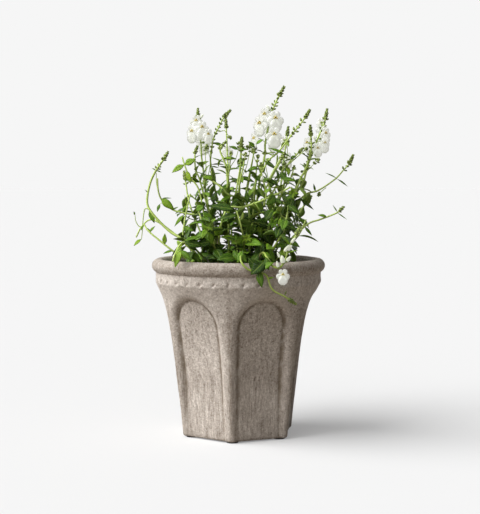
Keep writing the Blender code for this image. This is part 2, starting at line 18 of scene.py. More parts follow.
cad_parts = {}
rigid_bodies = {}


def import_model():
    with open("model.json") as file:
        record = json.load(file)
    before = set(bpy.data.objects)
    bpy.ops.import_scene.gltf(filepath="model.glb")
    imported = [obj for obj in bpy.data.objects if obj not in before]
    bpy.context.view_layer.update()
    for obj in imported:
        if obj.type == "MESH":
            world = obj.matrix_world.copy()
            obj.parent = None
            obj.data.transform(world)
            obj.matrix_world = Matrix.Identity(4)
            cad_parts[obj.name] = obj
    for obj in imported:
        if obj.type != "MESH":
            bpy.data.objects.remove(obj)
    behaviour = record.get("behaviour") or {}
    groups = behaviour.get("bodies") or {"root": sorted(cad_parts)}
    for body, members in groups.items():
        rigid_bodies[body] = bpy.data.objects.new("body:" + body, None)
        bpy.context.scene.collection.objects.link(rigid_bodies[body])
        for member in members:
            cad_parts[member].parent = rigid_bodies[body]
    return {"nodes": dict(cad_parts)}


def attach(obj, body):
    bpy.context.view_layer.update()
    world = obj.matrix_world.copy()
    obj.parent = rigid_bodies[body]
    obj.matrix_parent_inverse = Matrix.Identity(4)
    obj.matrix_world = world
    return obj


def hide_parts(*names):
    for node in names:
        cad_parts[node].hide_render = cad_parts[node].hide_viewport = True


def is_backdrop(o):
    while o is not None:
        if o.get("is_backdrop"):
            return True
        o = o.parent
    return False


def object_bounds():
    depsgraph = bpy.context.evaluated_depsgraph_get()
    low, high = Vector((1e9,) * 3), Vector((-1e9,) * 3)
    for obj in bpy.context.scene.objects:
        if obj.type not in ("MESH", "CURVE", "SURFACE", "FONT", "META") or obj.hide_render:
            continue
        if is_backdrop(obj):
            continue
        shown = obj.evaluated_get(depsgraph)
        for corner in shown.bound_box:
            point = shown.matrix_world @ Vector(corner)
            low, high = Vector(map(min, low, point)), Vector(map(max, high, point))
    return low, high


for left_over in list(bpy.data.objects):
    bpy.data.objects.remove(left_over)
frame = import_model()
cad_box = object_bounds()
MM = 0.001
# Points nearer to each other than this are one point.
TOUCHING = MM * 0.001

# %% [markdown]
# ## The camera
# The picture was taken with a long lens from about eight times the pot's width away, a little above the
# rim, and a little to the right of the pot's front corner. A camera could be placed by eye, but here its
# place follows from what was measured in the picture: the size of a pixel at the pot's middle, the
# height of the horizon, and the point that lies in the middle of the frame.

# %% Camera
VIEW_TURN = math.radians(6.5)
CAMERA_AWAY = 1.81
CAMERA_HEIGHT = 0.352
PIXEL = 1.39 * MM
PICTURE_TALL = 514
AXIS_X = 238.3
HORIZON_Y = 181.2
MIDDLE = (240.0, 257.0)
ACROSS = Vector((math.cos(VIEW_TURN), math.sin(VIEW_TURN), 0))
TOWARD = Vector((math.sin(VIEW_TURN), -math.cos(VIEW_TURN), 0))
UP = Vector((0, 0, 1))


def seen_at(x, y, toward_mm=0.0):
    """The point behind a pixel of the picture, this far in front of the pot's axis."""
    size = PIXEL * (1 - toward_mm * MM / CAMERA_AWAY)
    height = CAMERA_HEIGHT + (HORIZON_Y - y) * size
    return ACROSS * ((x - AXIS_X) * size) + TOWARD * (toward_mm * MM) + UP * height


camera = bpy.data.objects.new("camera", bpy.data.cameras.new("camera"))
bpy.context.scene.collection.objects.link(camera)
camera.data.sensor_width = 36.0
camera.data.lens = camera.data.sensor_width * CAMERA_AWAY / (PICTURE_TALL * PIXEL)
camera.location = TOWARD * CAMERA_AWAY + UP * CAMERA_HEIGHT
camera.rotation_euler = (seen_at(*MIDDLE) - camera.location).to_track_quat("-Z", "Y").to_euler()
bpy.context.scene.camera = camera
print(f"lens {camera.data.lens:.1f} mm, the middle of the frame is at {tuple(seen_at(*MIDDLE))}")

# %% [markdown]
# ## Floor and light
# A studio sweep is white everywhere and still shows a soft shadow. A curved backdrop would do it, but
# its bend picks up shading, so here the floor is flat and very wide, and the sky behind it has the same
# white. Two broad suns stand for a softbox on the left and a weaker one nearer the camera: a sun lights
# the whole floor evenly, and its width makes the shadow soft. The floor glows a little where the camera
# sees it, as a sweep that is lit from below does, which keeps the shadow pale. Its colour is worked out
# from the light, so the two whites meet.

# %% Floor and light
BACKDROP = 0.9216
# Each softbox: its turn from the left toward the camera, its rise and its width in degrees, its strength.
SOFTBOXES = {"left softbox": (12, 43, 58, 4.1), "front softbox": (50, 40, 50, 1.05)}
SKY = 0.18
FLOOR_BOUNCE = (0.28, 0.243, 0.205)
FLOOR_GLOW = 0.25
FLOOR_HALF = 60.0
# A Mix node's sockets for colours stand after those for numbers and vectors.
COLOUR_A, COLOUR_B, COLOUR_OUT = 6, 7, 2

bpy.context.scene.view_settings.view_transform = "Standard"
floor_light = SKY
for name, (turn, rise, width, strength) in SOFTBOXES.items():
    sun = bpy.data.objects.new(name, bpy.data.lights.new(name, "SUN"))
    bpy.context.scene.collection.objects.link(sun)
    sun.data.energy = strength
    sun.data.angle = math.radians(width)
    turn, rise = math.radians(turn), math.radians(rise)
    sideways = TOWARD * math.sin(turn) - ACROSS * math.cos(turn)
    sun_from = sideways * math.cos(rise) + UP * math.sin(rise)
    sun.rotation_euler = sun_from.to_track_quat("Z", "Y").to_euler()
    floor_light += strength * math.sin(rise) / math.pi
floor_white = (BACKDROP - FLOOR_GLOW) / floor_light


def seen_share(tree):
    """1 for rays that show the backdrop, straight or in a reflection, and 0 for rays that carry light."""
    path = tree.nodes.new("ShaderNodeLightPath")
    total = path.outputs["Is Camera Ray"]
    for name in ("Is Glossy Ray", "Is Transmission Ray"):
        larger = tree.nodes.new("ShaderNodeMath")
        larger.operation = "MAXIMUM"
        tree.links.new(total, larger.inputs[0])
        tree.links.new(path.outputs[name], larger.inputs[1])
        total = larger.outputs[0]
    return total


def seen_or_lit(tree, seen, lit):
    """A colour that differs between what is seen and what lights the object."""
    mix = tree.nodes.new("ShaderNodeMix")
    mix.data_type = "RGBA"
    tree.links.new(seen_share(tree), mix.inputs["Factor"])
    mix.inputs[COLOUR_A].default_value = (*lit, 1)
    mix.inputs[COLOUR_B].default_value = (seen, seen, seen, 1)
    return mix.outputs[COLOUR_OUT]


world = bpy.data.worlds.new("studio")
bpy.context.scene.world = world
world.use_nodes = True
world.node_tree.links.new(
    seen_or_lit(world.node_tree, BACKDROP, (SKY, SKY, SKY)),
    world.node_tree.nodes["Background"].inputs["Color"],
)

bm = bmesh.new()
bmesh.ops.create_grid(bm, x_segments=1, y_segments=1, size=FLOOR_HALF)
mesh = bpy.data.meshes.new("floor")
bm.to_mesh(mesh)
bm.free()
floor = bpy.data.objects.new("floor", mesh)
bpy.context.scene.collection.objects.link(floor)
paper = bpy.data.materials.new("white sweep")
paper.use_nodes = True
tree = paper.node_tree
tree.nodes.remove(tree.nodes["Principled BSDF"])
matte = tree.nodes.new("ShaderNodeBsdfDiffuse")
tree.links.new(seen_or_lit(tree, floor_white, FLOOR_BOUNCE), matte.inputs["Color"])
glow = tree.nodes.new("ShaderNodeEmission")
tree.links.new(seen_or_lit(tree, FLOOR_GLOW, (0, 0, 0)), glow.inputs["Color"])
both = tree.nodes.new("ShaderNodeAddShader")
for number, part in enumerate((matte, glow)):
    tree.links.new(part.outputs[0], both.inputs[number])
tree.links.new(both.outputs[0], tree.nodes["Material Output"].inputs["Surface"])
mesh.materials.append(paper)
floor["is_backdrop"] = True
print(f"floor white {floor_white:.3f}")

# %% [markdown]
# ## Helper for finishes
# A finish is a tree of nodes. Linking nodes by hand takes many lines, so a small class keeps the usual
# steps short: noise, colour ramps, mixes and bump. Values that are the same all over a surface are set
# on the shader itself.

# %% Helper for finishes
class Finish:
    """A node material, built in short steps on Object coordinates."""

    def __init__(self, name, roughness, specular=0.5):
        self.material = bpy.data.materials.new(name)
        self.material.use_nodes = True
        self.tree = self.material.node_tree
        self.shader = self.tree.nodes["Principled BSDF"]
        self.shader.inputs["Roughness"].default_value = roughness
        self.shader.inputs["Specular IOR Level"].default_value = specular
        self.place = self.tree.nodes.new("ShaderNodeTexCoord").outputs["Object"]

    def put(self, socket, value):
        """Links a value that comes from a node, and sets one that is plain."""
        if isinstance(value, bpy.types.NodeSocket):
            self.tree.links.new(value, socket)
        else:
            socket.default_value = value

    def feed(self, node, name, value):
        self.put(next(socket for socket in node.inputs if socket.name == name and socket.enabled), value)

    def node(self, kind, **inputs):
        made = self.tree.nodes.new(kind)
        for name, value in inputs.items():
            self.feed(made, name, value)
        return made

    def noise(self, scale, detail=4.0, rough=0.6, stretch=None):
        place = self.place
        if stretch:
            place = self.node("ShaderNodeMapping", Vector=place, Scale=stretch).outputs[0]
        made = self.node("ShaderNodeTexNoise", Vector=place, Scale=scale, Detail=detail, Roughness=rough)
        return made.outputs[0]

    def cells(self, scale):
        return self.node("ShaderNodeTexVoronoi", Vector=self.place, Scale=scale).outputs[0]

    def attribute(self, name):
        made = self.node("ShaderNodeAttribute")
        made.attribute_name = name
        return made.outputs["Fac"]

    def uv(self):
        """Across and along a blade, each from 0 to 1."""
        split = self.node("ShaderNodeSeparateXYZ", Vector=self.node("ShaderNodeUVMap").outputs[0])
        return split.outputs[0], split.outputs[1]

    def math(self, operation, first, second=0.0):
        made = self.tree.nodes.new("ShaderNodeMath")
        made.operation = operation
        for socket, value in zip(made.inputs, (first, second)):
            self.put(socket, value)
        return made.outputs[0]

    def blend(self, *parts):
        """A weighted sum of values: (value, weight), (value, weight) and so on."""
        total = None
        for value, weight in parts:
            scaled = self.math("MULTIPLY", value, weight)
            total = scaled if total is None else self.math("ADD", total, scaled)
        return total

    def ramp(self, value, *stops):
        made = self.node("ShaderNodeValToRGB", Fac=value)
        elements = made.color_ramp.elements
        while len(elements) < len(stops):
            elements.new(1.0)
        for element, (place, colour) in zip(elements, stops):
            element.position = place
            element.color = (*colour, 1) if isinstance(colour, tuple) else (colour, colour, colour, 1)
        return made.outputs[0]

    def mix(self, factor, first, second):
        made = self.tree.nodes.new("ShaderNodeMix")
        made.data_type = "RGBA"
        for name, value in (("Factor", factor), ("A", first), ("B", second)):
            self.feed(made, name, (*value, 1) if isinstance(value, tuple) else value)
        return made.outputs[COLOUR_OUT]

    def colour(self, value):
        self.feed(self.shader, "Base Color", value)

    def glow_through(self, share, depth, tint):
        """Lets light through thin growth, which glows when it is lit from behind."""
        self.shader.inputs["Subsurface Weight"].default_value = share
        self.shader.inputs["Subsurface Scale"].default_value = depth
        self.shader.inputs["Subsurface Radius"].default_value = tint

    def bump(self, height, distance):
        made = self.node("ShaderNodeBump", Strength=1.0, Distance=distance, Height=height)
        self.feed(self.shader, "Normal", made.outputs[0])


print("finish helper ready")

# %% [markdown]
# ## Helpers for pieces
# Four more helpers are needed all through the lesson. One turns a bmesh into a piece that rides on a body
# of the frame, one spins a line of points into a round body, one draws a smooth curve through a few
# points, and one is a soft step between 0 and 1.

# %% Helpers for pieces
def add_piece(name, bm, finishes, body, stands_for):
    """Turns a bmesh into a smooth piece at the origin that rides on a body and stands for CAD nodes."""
    mesh = bpy.data.meshes.new(name)
    bm.to_mesh(mesh)
    bm.free()
    mesh.shade_smooth()
    piece = bpy.data.objects.new(name, mesh)
    bpy.context.scene.collection.objects.link(piece)
    for finish in finishes:
        mesh.materials.append(finish.material)
    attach(piece, body)
    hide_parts(*stands_for)
    return piece


def spin_round(bm, verts, steps, axis=(0, 0, 1), touching=TOUCHING):
    """Joins points into a line and spins it all the way round."""
    for start, end in zip(verts, verts[1:]):
        bm.edges.new((start, end))
    bmesh.ops.spin(
        bm, geom=bm.verts[:] + bm.edges[:], cent=(0, 0, 0), axis=axis, angle=math.tau, steps=steps,
        use_merge=True,
    )
    bmesh.ops.remove_doubles(bm, verts=bm.verts, dist=touching)
    bmesh.ops.recalc_face_normals(bm, faces=bm.faces)


def smooth_line(points, per_span=12):
    """A smooth curve through points of any number of values, one row of values for each point."""
    points = np.array(points, float)
    ends = np.concatenate([[2 * points[0] - points[1]], points, [2 * points[-1] - points[-2]]])
    line = []
    for before, start, end, after in zip(ends, ends[1:], ends[2:], ends[3:]):
        for t in np.linspace(0.0, 1.0, per_span, endpoint=False):
            line.append(
                start + 0.5 * t * (end - before)
                + t**2 * (before - 2.5 * start + 2 * end - 0.5 * after)
                + t**3 * (1.5 * (start - end) + 0.5 * (after - before))
            )
    line.append(points[-1])
    return np.array(line)


def ease(value):
    """A soft step from 0 to 1."""
    t = np.clip(value, 0.0, 1.0)
    return t * t * (3 - 2 * t)


print("piece helpers ready")

# %% [markdown]
# ## The cast stone
# The pot is fibre clay brushed with a pale wash: a warm grey ground, sandy grain of a millimetre or two,
# brush streaks that run down the walls, and slow blotches. An image would not follow the shape, so noise
# of several sizes is added up and sent through one ramp. The streaks are the same noise, stretched
# upright, and they are plainest low on the walls. The lip crests are paler, a painted highlight with some
# rubbing, and the upper wall gets painted light. The grooves, dents, rib corners and the crease under the
# roll get painted shade, and the roll and foot a darker tone. The mesh carries these, and where the
# brushing shows, as attributes.

# %% Stone
stone = Finish("cast stone", roughness=0.93, specular=0.25)
grain = stone.noise(560, detail=3, rough=0.75)
sand = stone.noise(270, detail=4, rough=0.7)
streak = stone.noise(240, detail=4, rough=0.65, stretch=(1, 1, 0.11))
fine_streak = stone.noise(520, detail=2, rough=0.6, stretch=(1, 1, 0.16))
blotch = stone.noise(16, detail=5, rough=0.6)
even = stone.blend((grain, 0.38), (sand, 0.32), (streak, 0.12), (fine_streak, 0.06), (blotch, 0.12))
brushed = stone.blend((grain, 0.26), (sand, 0.18), (streak, 0.28), (fine_streak, 0.20), (blotch, 0.08))
low_share = stone.attribute("low")
wash = stone.math("ADD", even, stone.math("MULTIPLY", low_share, stone.math("SUBTRACT", brushed, even)))
ground = stone.ramp(
    wash,
    (0.398, (0.200, 0.165, 0.135)),
    (0.461, (0.395, 0.343, 0.298)),
    (0.522, (0.535, 0.478, 0.424)),
    (0.588, (0.740, 0.685, 0.625)),
)
# The mesh's light-and-shade attribute paints light and shade into the colour, besides worn places. Above
# zero it pales the stone with a painted highlight on the lip crests and painted light on the upper wall.
# Below zero it darkens it with painted shade in the grooves, dents, rib corners and under the roll, and with
# a darker tone on the roll and near the foot.
wear = stone.attribute("wear")
painted_light_and_rubbing = stone.math("MULTIPLY", stone.math("MAXIMUM", wear, 0.0), stone.math("MULTIPLY", sand, 0.95))
painted_shade_and_dark_tone = stone.math("MULTIPLY", stone.math("MAXIMUM", stone.math("MULTIPLY", wear, -1.0), 0.0), 0.85)
# The pale colour serves the painted highlight and painted light, and the dark one the painted shade.
paler = stone.mix(painted_light_and_rubbing, ground, (0.70, 0.648, 0.59))
stone.colour(stone.mix(painted_shade_and_dark_tone, paler, (0.150, 0.112, 0.072)))
stone.bump(stone.blend((grain, 0.5), (sand, 0.6), (streak, 0.35), (fine_streak, 0.25)), 1.2 * MM)
print("stone nodes:", len(stone.tree.nodes))

# %% [markdown]
# ## The pot
# The real pot is cast in a mould that is hexagonal at the foot and round at the rim. It could be lofted
# from sections, but spinning one profile gives even rows all the way round. Each row is then drawn in
# from a circle to a soft hexagon, and the arched panels are sunk into its six faces by the distance of
# each point from the arch, which gives them the soft, rubbed lip of a casting.

# %% Pot profile
POT_FOOT = 3.3 * MM
POT_TOP = 245 * MM
SOIL_TOP = 222 * MM
BASE_RADIUS = 82.2 * MM
BASE_EDGE = 2.8 * MM
SKIRT = 1.6 * MM
BAND_FOOT = 212.5 * MM
BAND_STEP = 3.5 * MM
BAND_RADIUS = 114.7 * MM
ROLL_RADIUS = 9.5 * MM
RIM_RADIUS = 120.2 * MM
MOUTH_RADIUS = 101.2 * MM
DRAIN_RADIUS = 15 * MM
FLOOR_TOP = 17.5 * MM
FLARE = (
    (0.12, 0.09, 42.0), (0.26, 0.22, 42.0), (0.42, 0.355, 38.0), (0.54, 0.46, 30.0), (0.66, 0.585, 20.0),
    (0.745, 0.685, 13.0), (0.825, 0.77, 8.2), (0.875, 0.83, 6.6), (0.92, 0.895, 5.5), (0.965, 0.95, 4.5),
)
HEXAGON, CIRCLE = 42.0, 4.0
ROW = 1.6 * MM
TURN_STEPS = 408
ROLL_CENTRE = (RIM_RADIUS - ROLL_RADIUS, POT_TOP - ROLL_RADIUS)
HOLLOW = ((0.0, 0.0), (0.38, 0.17), (0.645, 0.345), (0.795, 0.54), (0.90, 0.80), (1.0, 1.0))
HOLLOW_FOOT_RADIUS = 55 * MM
# The underside from the drain hole outwards: radius in millimetres, and how far it follows the hexagon.
UNDERSIDE = ((15, 0), (30, 0.3), (50, 0.8), (66, 1), (73, 1), (77.6, 1))
HOLLOW_FLOOR = (42, 30, 20, 15)
EDGE_ROWS, STEP_ROWS, BAND_ROWS, ROLL_ROWS, HOLLOW_ROWS = 5, 6, 9, 30, 26


def hollow_radius(height):
    """The inside of the pot at this height."""
    ups, outs = zip(*HOLLOW)
    share = np.interp((height - FLOOR_TOP) / (ROLL_CENTRE[1] - FLOOR_TOP), ups, outs)
    return HOLLOW_FOOT_RADIUS + (MOUTH_RADIUS - HOLLOW_FOOT_RADIUS) * share


def wall_rows():
    """The outer wall as rows of (radius at the corners, height, corner sharpness)."""
    edge = POT_FOOT + BASE_EDGE
    top_radius = BAND_RADIUS - BAND_STEP
    marks = [(edge, BASE_RADIUS, HEXAGON)]
    for up, out, sharpness in FLARE:
        height = edge + (BAND_FOOT - edge) * up
        marks.append((height, BASE_RADIUS + (top_radius - BASE_RADIUS) * out, sharpness))
    marks.append((BAND_FOOT, top_radius, CIRCLE))
    line = smooth_line(marks)
    for height in np.arange(edge, BAND_FOOT - ROW / 2, ROW):
        yield (np.interp(height, line[:, 0], line[:, 1]), height, np.interp(height, line[:, 0], line[:, 2]))


def pot_profile():
    """The whole section as (radius, height, sharpness, how far the point follows the hexagon)."""
    rows = [(radius * MM, POT_FOOT, HEXAGON, share) for radius, share in UNDERSIDE]
    for turn in np.linspace(-90, 0, EDGE_ROWS):
        rows.append((
            BASE_RADIUS - BASE_EDGE * (1 - math.cos(math.radians(turn))),
            POT_FOOT - SKIRT + (BASE_EDGE + SKIRT) * (1 + math.sin(math.radians(turn))), HEXAGON, 1,
        ))
    rows += [(*row, 1) for row in list(wall_rows())[1:]]
    for share in np.linspace(0, 1, STEP_ROWS):
        rows.append((BAND_RADIUS - BAND_STEP * (1 - ease(share)), BAND_FOOT + BAND_STEP * share, CIRCLE, 1))
    under = -math.acos((BAND_RADIUS - ROLL_CENTRE[0]) / ROLL_RADIUS)
    band_top = ROLL_CENTRE[1] + ROLL_RADIUS * math.sin(under)
    for height in np.linspace(BAND_FOOT + BAND_STEP, band_top, BAND_ROWS)[1:-1]:
        rows.append((BAND_RADIUS, height, CIRCLE, 1))
    for turn in np.linspace(under, math.pi, ROLL_ROWS):
        rows.append((
            ROLL_CENTRE[0] + ROLL_RADIUS * math.cos(turn),
            ROLL_CENTRE[1] + ROLL_RADIUS * math.sin(turn), CIRCLE, 0,
        ))
    for height in np.linspace(ROLL_CENTRE[1], FLOOR_TOP, HOLLOW_ROWS)[1:]:
        rows.append((float(hollow_radius(height)), height, CIRCLE, 0))
    rows += [(radius * MM, FLOOR_TOP, CIRCLE, 0) for radius in HOLLOW_FLOOR]
    return rows


profile = pot_profile()
print("pot rows:", len(profile))

# %% Spin the pot
bm = bmesh.new()
sharp_layer = bm.verts.layers.float.new("sharpness")
share_layer = bm.verts.layers.float.new("hexagon")
corners = []
for radius, height, sharpness, share in profile:
    vert = bm.verts.new((radius, 0, height))
    vert[sharp_layer] = sharpness
    vert[share_layer] = share
    corners.append(vert)
spin_round(bm, corners + corners[:1], TURN_STEPS)
pot = add_piece("stone_pot", bm, [stone], "planter", ["planter_shell"])
print("pot faces:", len(pot.data.polygons))

# %% [markdown]
# ## The hexagon and its panels
# Sculpting by hand would not line up with the solid, so the rows are moved by rule, all at once. First
# comes the hexagon, then the panels, whose edges roll in and end in a groove. No two faces of such a
# casting are quite alike: two panels lean a little to the side. The panels run out toward the foot.

# %% Hexagon and panels
PANEL_DEPTH = 6.6 * MM
PANEL_FOOT_HALF = 32.6 * MM
PANEL_TOP_HALF = 36.2 * MM
PANEL_CROWN = 193 * MM
TOP_SHIFTS = (-4.8, 0, 0, 0, 0, -5.5)
FOOT_SHIFTS = (-0.8, 0, 0, 0, 0, -2.4)
FOOT_SHARE, FULL_DEPTH = 0.35, 85 * MM
LIP_OUTSIDE = 9.0 * MM
LIP_INSIDE = 1.2 * MM
LIP_ROUND = 2.1
GROOVE_DEPTH, GROOVE_WIDTH = 0.9 * MM, 1.7 * MM
# The panels cut into the underside from the first of these radii on, and fully from the second.
NOTCH_FROM, NOTCH_TO = 64 * MM, 76 * MM
SIDES = 6
CORNER_TURN = math.radians(-90)
SIDE_TURN = math.radians(60)


def bell(distance, width):
    """1 at no distance, falling to nothing within about two widths."""
    return np.exp(-((distance / width) ** 2))


def read_attribute(mesh, name):
    values = np.zeros(len(mesh.vertices), np.float32)
    mesh.attributes[name].data.foreach_get("value", values)
    return values.astype(float)


def hexagon_share(turn, sharpness):
    """The radius of a soft hexagon at this turn, as a share of its radius at the corners."""
    def reach(angle):
        total = 0
        for side in range(SIDES):
            facing = np.maximum(np.cos(angle - CORNER_TURN - SIDE_TURN * (side + 0.5)), 0)
            total = total + facing**sharpness
        return total ** (-1 / sharpness)
    return reach(turn) / reach(np.full_like(turn, CORNER_TURN))


def arch_depth(across, height):
    """How far inside the arch a point is, and negative outside it."""
    spring = PANEL_CROWN - PANEL_TOP_HALF
    low = POT_FOOT - PANEL_TOP_HALF / 2
    half = np.interp(height, (low, spring), (PANEL_FOOT_HALF, PANEL_TOP_HALF))
    above = PANEL_TOP_HALF - np.hypot(across, height - spring)
    return np.where(height < spring, half - np.abs(across), above)


mesh = pot.data
points = np.zeros(len(mesh.vertices) * 3, np.float32)
mesh.vertices.foreach_get("co", points)
points = points.reshape(-1, 3).astype(float)
turn = np.arctan2(points[:, 1], points[:, 0])
height = points[:, 2]
radius = np.hypot(points[:, 0], points[:, 1])
follows = read_attribute(mesh, "hexagon")
outside = follows > 0.5
shaped = radius * (1 + follows * (hexagon_share(turn, read_attribute(mesh, "sharpness")) - 1))

from_face = (turn - CORNER_TURN) % SIDE_TURN - SIDE_TURN / 2
face_number = ((turn - CORNER_TURN) // SIDE_TURN).astype(int) % SIDES
wall_share = np.clip((height - POT_FOOT) / (PANEL_CROWN - POT_FOOT), 0, 1)
top_shift, foot_shift = np.array(TOP_SHIFTS)[face_number], np.array(FOOT_SHIFTS)[face_number]
shift = top_shift * wall_share + foot_shift * (1 - wall_share)
inside = arch_depth(shaped * np.sin(from_face) - shift * MM, height)
sunk = np.clip((inside + LIP_OUTSIDE) / (LIP_OUTSIDE + LIP_INSIDE), 0, 1) ** LIP_ROUND
on_wall = outside & (height < BAND_FOOT)
low_wall = on_wall & (height > POT_FOOT + BASE_EDGE)
groove = bell(inside - LIP_INSIDE, GROOVE_WIDTH)
notch = ease((radius - NOTCH_FROM) / (NOTCH_TO - NOTCH_FROM))
edge_share = np.where(height > POT_FOOT + MM * 0.1, 1.0, notch)
depth_share = FOOT_SHARE + (1 - FOOT_SHARE) * ease((height - POT_FOOT) / FULL_DEPTH)
shaped = shaped - PANEL_DEPTH * depth_share * sunk * edge_share * on_wall
shaped = shaped - GROOVE_DEPTH * depth_share * groove * low_wall
print(f"points inside the panels: {np.count_nonzero(on_wall & (inside > 0))}")

# %% [markdown]
# ## The band and its dents
# Below the rolled rim runs a band whose lower edge is worn soft, with a ring of small slanted dents and
# worn eggs between them. Cutting each dent would leave sharp edges, so a dent is a smooth hollow in the
# wall, narrower at one end, and each is set a little off its even place.

# %% Band and dents
DENTS = 36
DENT_HEIGHT = 215.3 * MM
DENT_LONG, DENT_WIDE, DENT_DEPTH = 2.9 * MM, 1.5 * MM, 2.2 * MM
DENT_SLANT = math.radians(38)
DENT_JITTER, JITTER_TURN = 0.7 * MM, 12.9898
DENT_TAPER = 0.35
EGG_SWELL, EGG_TALL, EGG_DROP, EGG_ROUND = 0.55 * MM, 4.2 * MM, 0.8 * MM, 0.8
STEP_BELOW, STEP_ABOVE = 24 * MM, 5 * MM
NEAR_BAND = 14 * MM

crisp_step = ease((height - BAND_FOOT) / BAND_STEP)
soft_step = ease((height - BAND_FOOT + STEP_BELOW) / (STEP_BELOW + STEP_ABOVE))
shaped = shaped + BAND_STEP * (soft_step - crisp_step) * (outside & (height > BAND_FOOT - STEP_BELOW))
near_band = outside & (np.abs(height - BAND_FOOT) < NEAR_BAND)

dent_turn = math.tau / DENTS
number = np.round(turn / dent_turn)
jitter = DENT_JITTER * np.sin(number * JITTER_TURN)
aside = (turn - number * dent_turn) * BAND_RADIUS + jitter
above = height - DENT_HEIGHT + 0.5 * jitter
along = aside * math.sin(DENT_SLANT) + above * math.cos(DENT_SLANT)
over = aside * math.cos(DENT_SLANT) - above * math.sin(DENT_SLANT)
taper = 1 + DENT_TAPER * np.clip(along / DENT_LONG, -1, 1)
dent = np.exp(-((along / DENT_LONG) ** 2) - (over / (DENT_WIDE * taper)) ** 2)
between = 0.5 - 0.5 * np.cos(aside / BAND_RADIUS / dent_turn * math.tau)
egg = np.exp(-(((height - DENT_HEIGHT + EGG_DROP) / EGG_TALL) ** 4)) * between**EGG_ROUND
shaped = shaped + np.where(near_band, EGG_SWELL * egg - DENT_DEPTH * dent, 0)
print("dents:", DENTS)

# %% [markdown]
# ## The hand-finished surface
# A casting is never quite true, so slow waves, lumps and pits of noise are added, less of them on the
# inside. Bump in the material could show them too, but then the pot's outline would stay perfect.

# %% Unevenness
WAVE_SIZE, LUMP_SIZE, PIT_SIZE = 42 * MM, 11 * MM, 4.2 * MM
INSIDE_SHARE = 0.25


def uneven(points, size, seed):
    """Slow noise at each point, from -1 to 1, with features of about this size."""
    shift = Vector((seed * 3.7, seed * 1.3, seed * 2.1))
    return np.array([noise.noise(Vector(point) / size + shift) for point in points])


slow, lumps, pits = (
    uneven(points, size, seed) for seed, size in enumerate((WAVE_SIZE, LUMP_SIZE, PIT_SIZE), start=1)
)
rough_share = np.where(outside | (height > ROLL_CENTRE[1] - ROLL_RADIUS / 2), 1.0, INSIDE_SHARE)
unevenness = (0.45 * slow + 0.22 * lumps + 0.13 * pits) * MM
shaped = shaped + rough_share * unevenness * (radius > DRAIN_RADIUS * 1.2)
points[:, 0] = shaped * np.cos(turn)
points[:, 1] = shaped * np.sin(turn)
on_roll = height > ROLL_CENTRE[1]
points[:, 2] = height + on_roll * (0.35 * slow + 0.15 * lumps) * MM
mesh.vertices.foreach_set("co", points.astype(np.float32).ravel())
print(f"pot is {2 * shaped.max() * 1000:.0f} mm across and {points[:, 2].max() * 1000:.0f} mm tall")

# %% [markdown]
# ## Painted light, painted shade and worn places
# The crest of each panel's lip is paler, a painted highlight with some rubbing, and the upper wall and the
# band get painted light. The grooves, the dents, the rib corners and the crease under the roll get
# painted shade, and the roll and the foot get a darker tone. Painting a map by hand would tie it to this
# one mesh, so each kind is worked out from the same distances that shaped the pot, and their sum goes into
# one attribute that the stone reads.

# %% Painted light and shade
RIDGE_OUT, RIDGE_WIDTH, RIDGE_END = 4.5 * MM, 3.2 * MM, 0.5 * MM
CORNER_WIDTH = 4.5 * MM
# Widths of the painted shade along the grooves, outside and inside the lip.
GROOVE_SHADE_OUTSIDE, GROOVE_SHADE_INSIDE = 2.7, 2.0
# The crease under the roll, where a painted shadow lies.
ROLL_CREASE, CREASE_WIDTH = 227 * MM, 1.8 * MM
# How far up from the floor the foot is darker.
DARKER_FOOT_REACH = 14 * MM
# Where the painted light on the upper wall begins, and how far it fades in.
PALE_FROM, PALE_OVER = 174 * MM, 24 * MM
BRUSHED_BELOW = 70 * MM

# Painted highlight on the crest of each panel's lip, with some rubbing.
ridge_highlight_and_rubbing = bell(inside + RIDGE_OUT, RIDGE_WIDTH) * on_wall * (inside < RIDGE_END)
# The rib corners, darkened with painted shade.
corner = bell((np.abs(from_face) - SIDE_TURN / 2) * shaped, CORNER_WIDTH) * on_wall
# Painted shade along the groove at each panel's edge, wider outside the lip.
groove_shade_width = np.where(inside < LIP_INSIDE, GROOVE_SHADE_OUTSIDE, GROOVE_SHADE_INSIDE) * MM
groove_painted_shade = bell(inside - LIP_INSIDE, groove_shade_width) * on_wall
# Painted shadow in the crease under the roll.
painted_shadow_under_roll = bell(height - ROLL_CREASE, CREASE_WIDTH) * outside
# The roll and the rim top, which are darker all over.
on_top = ease((height - ROLL_CENTRE[1] + ROLL_RADIUS) / ROLL_RADIUS)
# A darker tone towards the foot.
darker_near_foot = ease((DARKER_FOOT_REACH - height) / DARKER_FOOT_REACH) * outside
# Painted light on the upper wall and the band, below the roll.
painted_light_near_top = ease((height - PALE_FROM) / PALE_OVER) * (1 - on_top) * outside
# Paler places count up, painted light and rubbing among them, and darker places count down: painted
# shade in the grooves, dents, rib corners and under the roll, and a darker tone on the roll and foot.
kinds_of_painted_light_and_wear = (
    (0.45, ridge_highlight_and_rubbing), (-0.55, corner * (inside < 0)), (0.7, painted_light_near_top), (-0.5, on_top),
    (-1.2, groove_painted_shade * depth_share), (-0.9, dent * near_band), (-0.95, painted_shadow_under_roll), (-0.25, darker_near_foot),
)
painted_light_and_wear_value = sum(weight * where for weight, where in kinds_of_painted_light_and_wear) * (0.75 + 0.5 * lumps)
low_value = 1 - ease((height - BRUSHED_BELOW) / BRUSHED_BELOW)
for name, values in (("wear", painted_light_and_wear_value), ("low", low_value)):
    mesh.attributes.new(name, "FLOAT", "POINT").data.foreach_set("value", values.astype(np.float32))
for spare in ("sharpness", "hexagon"):
    mesh.attributes.remove(mesh.attributes[spare])
mesh.update()
print(f"wear runs from {painted_light_and_wear_value.min():.2f} to {painted_light_and_wear_value.max():.2f}")

